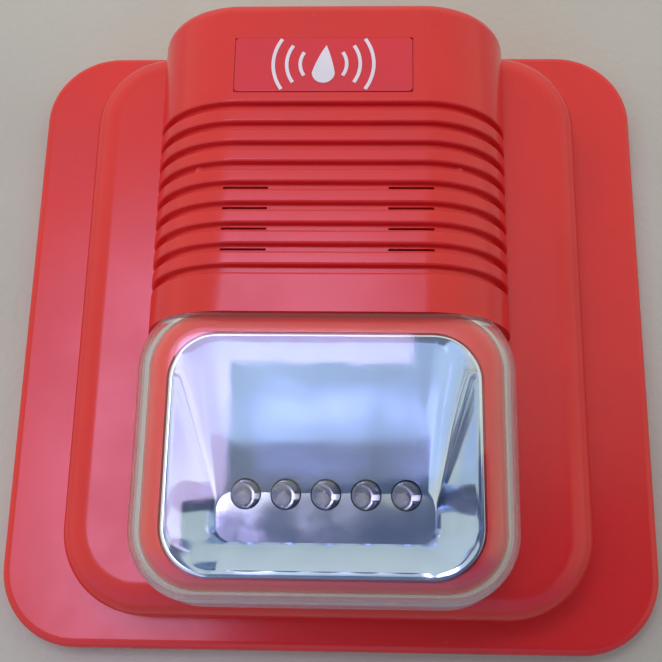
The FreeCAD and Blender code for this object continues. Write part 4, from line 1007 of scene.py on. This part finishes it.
def on_places(name, pattern, places, material):
    """Repeat a pattern object on given places, by Geometry Nodes."""
    points = bpy.data.meshes.new(name + "_places")
    points.from_pydata([tuple(place) for place in places], [], [])
    holder = pattern_piece(name + "_places", points)
    tree = Tree(name + "_tree", Size=1.0)
    spread = tree.node("GeometryNodeObjectInfo", {"Object": holder})
    shape = tree.node("GeometryNodeObjectInfo", {"Object": pattern})
    copies = tree.node("GeometryNodeInstanceOnPoints", {"Points": spread.outputs["Geometry"],
                                                        "Instance": shape.outputs["Geometry"]})
    sized = tree.node("GeometryNodeScaleInstances", {"Instances": copies.outputs[0],
                                                     "Scale": tree.input("Size")})
    mesh = tree.make(name, sized.outputs[0], material)
    for item in (holder, pattern):
        bpy.data.objects.remove(item)
    return mesh


print("a screw has", THREADS, "turns of thread")

# %% Put the small screws in


def screw_places(node, level):
    base, top = low(node), high(node)
    inset = SMALL_SCREW["head"]
    rows = sorted({round(y, 6) for y in (base.y + inset, top.y - inset)})
    return [Vector((x, y, level)) for x in (base.x + inset, top.x - inset) for y in rows]


for node in ("board_screws", "reflector_screws", "sounder_screws", "block_screws"):
    upward = node == "block_screws"
    thick = SMALL_SCREW["head_thick"]
    bearing = high(node).z - thick if upward else low(node).z + thick
    pattern = pattern_piece(node + "_pattern", pan_screw(node, upward=upward, **SMALL_SCREW))
    row = on_places(node + "_set", pattern, screw_places(node, bearing), FINISHES["zinc_screw"])
    finish_piece(node + "_set", row, "zinc_screw", body_of[node], node, angle=40.0)

# %% The clamp screws, one on each of its own bodies
CLAMP_HEAD_THICK, CLAMP_SHANK = 1.8 * MM, 1.75 * MM
for node in sorted(node for node in nodes if node.startswith("terminal_screw_")):
    base, top = low(node), high(node)
    head = (top.x - base.x) / 2
    bearing = top.z - CLAMP_HEAD_THICK
    blank = pan_screw(node, head, CLAMP_HEAD_THICK, CLAMP_SHANK, bearing - base.z, True)
    pattern = pattern_piece(node + "_pattern", blank)
    spot = Vector((middle(node).x, middle(node).y, bearing))
    one = on_places(node + "_turned", pattern, [spot], FINISHES["zinc_screw"])
    finish_piece(node + "_turned", one, "zinc_screw", body_of[node], node, angle=40.0)

# %% [markdown]
# ## Wound and rolled parts
# The two coils are enamelled wire wound in even turns, so each is a stack of shallow bulges. The
# capacitors are aluminium cans in a shrunk sleeve: the sleeve folds over the rim and leaves a bare
# scored disc on top.

# %% Windings
WIRE = 0.28 * MM
FEWEST_TURNS, PITCH_IN_WIRES, CORE_SHARE = 6, 1.6, 0.6
BULGE = ((0.04, 0.12), (0.27, 0.02), (0.5, 0.0), (0.73, 0.02), (0.96, 0.12))


def winding(node):
    """A stack of bulges. BULGE gives a share of the pitch and how far the skin lies in there, in mm."""
    base, top = low(node), high(node)
    centre = middle(node)
    radius = (top.x - base.x) / 2
    turns = max(FEWEST_TURNS, round((top.z - base.z) / WIRE / PITCH_IN_WIRES))
    pitch = (top.z - base.z) / turns
    rings = [circle(radius * CORE_SHARE, base.z, centre, 56)]
    for turn in range(turns):
        for share, dent in BULGE:
            rings.append(circle(radius - dent * MM, base.z + (turn + share) * pitch, centre, 56))
    rings.append(circle(radius * CORE_SHARE, top.z, centre, 56))
    bm = bmesh.new()
    skin(bm, rings, close_first=False, close_last=False, loop=True)
    return new_mesh(node + "_turns", bm)


for node in ("horn_transformer_winding", "strobe_inductor_winding"):
    finish_piece(node + "_turns", winding(node), "copper_wire", body_of[node], node, angle=60.0)

# %% Capacitors
CAN_FOOT = ((0.9, 0.0), (0.97, 0.25), (1.0, 0.7), (1.0, 1.5), (0.975, 1.75), (0.93, 1.95), (0.93, 2.25),
            (0.975, 2.45), (1.0, 2.7))
CAN_RIM = ((1.0, -0.75), (0.985, -0.35), (0.95, -0.08), (0.9, 0.0), (0.8, 0.0), (0.79, -0.12))
SCORE_LONG, SCORE_WIDE = 0.62, 0.035


def capacitor_can(node):
    """A can with a rolled groove. Profiles pair a share of the radius with a level in mm."""
    base, top, centre = low(node), high(node), middle(node)
    radius = (top.x - base.x) / 2
    tall = (top.z - base.z) / MM
    profile = list(CAN_FOOT) + [(share, tall + level) for share, level in CAN_RIM]
    bm = bmesh.new()
    skin(bm, [circle(radius * share, base.z + level * MM, centre, 56) for share, level in profile])
    for half_x, half_y in ((SCORE_LONG, SCORE_WIDE), (SCORE_WIDE, SCORE_LONG)):
        skin(bm, [round_rectangle(radius * half_x, radius * half_y, radius * 0.03, top.z + level * MM,
                                  centre, 2) for level in (-0.14, -0.09)])
    mesh = new_mesh(node + "_can", bm)
    mesh.materials.append(FINISHES["capacitor_sleeve"])
    mesh.materials.append(FINISHES["tinned_metal"])
    for face in mesh.polygons:
        if face.center.z > top.z - 0.15 * MM and (face.center.xy - centre.xy).length < radius * 0.7:
            face.material_index = 1
    return mesh


for node in ("input_capacitor_1", "input_capacitor_2"):
    finish_piece(node + "_can", capacitor_can(node), "capacitor_sleeve", body_of[node], node, angle=35.0)

# %% [markdown]
# ## Plates, cases and the other moulded parts
# These have the right shape in CAD, but as loose triangles. Each gets a merged copy with settled
# normals, so that its fillets read as fillets and its flats stay flat.

# %% Refine the larger hidden parts
REFINED = ("wall_plate", "terminal_block", "sounder_cup", "sounder_cover", "sounder_seal", "main_board",
           "varistor", "horn_transformer_core", "strobe_inductor_core", "sounder_lead_red",
           "sounder_lead_black", "piezo_disc", "sound_switch", "light_switch")
for node in REFINED:
    refine(node)

# %% [markdown]
# ## Everything else
# The CAD nodes that are still showing have the right shape already. They keep it and take the
# finish of their own material slot.

# %% Finish the remaining CAD nodes
for node, thing in nodes.items():
    if thing.hide_render:
        continue
    thing.data.materials.clear()
    thing.data.materials.append(FINISHES.get(slot_of[node], FINISHES["black_plastic"]))
print("CAD nodes that show their own shape:", sum(not thing.hide_render for thing in nodes.values()))

# %% [markdown]
# ## Stage, light and camera
# The strobe lies on its back on a pale surface. The floor is a plain sheet, much larger than the
# strobe, so that no edge of it shows from low down.

# %% Pale floor
FLOOR_HALF = 1.6


def pale_floor():
    bm = bmesh.new()
    bmesh.ops.create_grid(bm, x_segments=2, y_segments=2, size=FLOOR_HALF)
    mesh = new_mesh("pale_floor", bm)
    mesh.materials.append(make_finish("pale_floor", (0.56, 0.56, 0.46), (0.52, 0.51, 0.42), 0.8, 0.9,
                                      grain=500.0, depth=0.5, marks=9.0))
    add_object("pale_floor", mesh)


pale_floor()
print("floor", round(2 * FLOOR_HALF, 2), "m wide")

# %% [markdown]
# Two cool panels hang over the strobe, behind it and to its left, and lay the sheen on its plastic.
# A slate-blue card on the right keeps light from the lower right corner, and the chrome mirrors it.

# %% Panels and card
PANEL_COLOUR = (0.70, 0.54, 1.0)
CARD = {"left": -0.056, "right": 0.20, "front": -0.25, "back_left": -0.01, "back_right": 0.02,
        "level": 0.23, "thick": 0.004}


def soft_light(name, place, width, length, watts, colour):
    """A level panel that shines straight down."""
    light = bpy.data.lights.new(name, "AREA")
    light.shape = "RECTANGLE"
    light.size, light.size_y = width, length
    light.energy = watts
    light.color = colour
    lamp = bpy.data.objects.new(name, light)
    lamp.location = Vector(place)
    scene.collection.objects.link(lamp)


def dark_card():
    """A slate-blue card, which the camera doesn't see."""
    corners = [(CARD["left"], CARD["front"]), (CARD["right"], CARD["front"]),
               (CARD["right"], CARD["back_right"]), (CARD["left"], CARD["back_left"])]
    bm = bmesh.new()
    skin(bm, [[Vector((x, y, CARD["level"] + rise)) for x, y in corners]
              for rise in (0.0, CARD["thick"])])
    mesh = new_mesh("dark_card", bm)
    mesh.materials.append(make_finish("dark_card", (0.17, 0.25, 0.48), (0.14, 0.21, 0.42), 0.8, 0.9,
                                      depth=0.02))
    card = add_object("dark_card", mesh)
    card.visible_camera = False


soft_light("ceiling_above", (-0.17, 0.39, 1.2), width=0.46, length=0.17, watts=1.6, colour=PANEL_COLOUR)
soft_light("ceiling_left", (-0.30, 0.10, 1.2), width=0.26, length=0.41, watts=2.4, colour=PANEL_COLOUR)
dark_card()
print("lights", len(bpy.data.lights))

# %% [markdown]
# The room itself gives an even light: warm from above and behind, and a dimmer blue from in front,
# brighter on the left. The colour turns smoothly with the direction, so no edge of it shows in the
# chrome.

# %% Room light
ROOM = (0.80, 0.79, 0.68)
FRONT_LEFT = (0.52, 0.68, 1.0)
FRONT_RIGHT = (0.24, 0.34, 0.62)


def room_light():
    """Light by direction: X tells left from right, and -Y is the front."""
    world = bpy.data.worlds.new("room")
    world.use_nodes = True
    tree = world.node_tree
    place = tree.nodes.new("ShaderNodeTexCoord")
    split = tree.nodes.new("ShaderNodeSeparateXYZ")
    tree.links.new(place.outputs["Generated"], split.inputs[0])
    across = ramp(tree, split.outputs["X"], start=-0.35, stop=0.35)
    ahead = ramp(tree, math_node(tree, "MULTIPLY", split.outputs["Y"], -1.0), start=0.2, stop=0.6)
    blue = mix_colours(tree, across, FRONT_LEFT, FRONT_RIGHT)
    shown = mix_colours(tree, ahead, ROOM, blue)
    tree.links.new(shown, tree.nodes["Background"].inputs["Color"])
    scene.world = world


room_light()
scene.view_settings.view_transform = "Standard"
print("room light, warm to cool", ROOM, FRONT_LEFT, FRONT_RIGHT)

# %% [markdown]
# The camera stands about 20 cm over the strobe and a little towards its lower edge, and looks down
# and forwards. So near, the raised lens looks larger than the base, and all four sides of the base
# lean.

# %% Camera
CAMERA = {"place": (7.832, -62.701, 208.905), "lens": 59.82, "sensor": 36.0, "nearest": 0.01}
CAMERA_TURN = (("Z", -1.0374), ("X", -17.0086), ("Y", -2.2323))

camera_data = bpy.data.cameras.new("camera")
camera_data.lens = CAMERA["lens"]
camera_data.sensor_width = CAMERA["sensor"]
camera_data.clip_start = CAMERA["nearest"]
camera = bpy.data.objects.new("camera", camera_data)
turn = Matrix.Identity(3)
for axis, degrees in CAMERA_TURN:
    turn = turn @ Matrix.Rotation(math.radians(degrees), 3, axis)
camera.matrix_world = Matrix.Translation(Vector(CAMERA["place"]) * MM) @ turn.transposed().to_4x4()
scene.collection.objects.link(camera)
scene.camera = camera
print("camera", round(CAMERA["place"][2]), "mm above the floor")
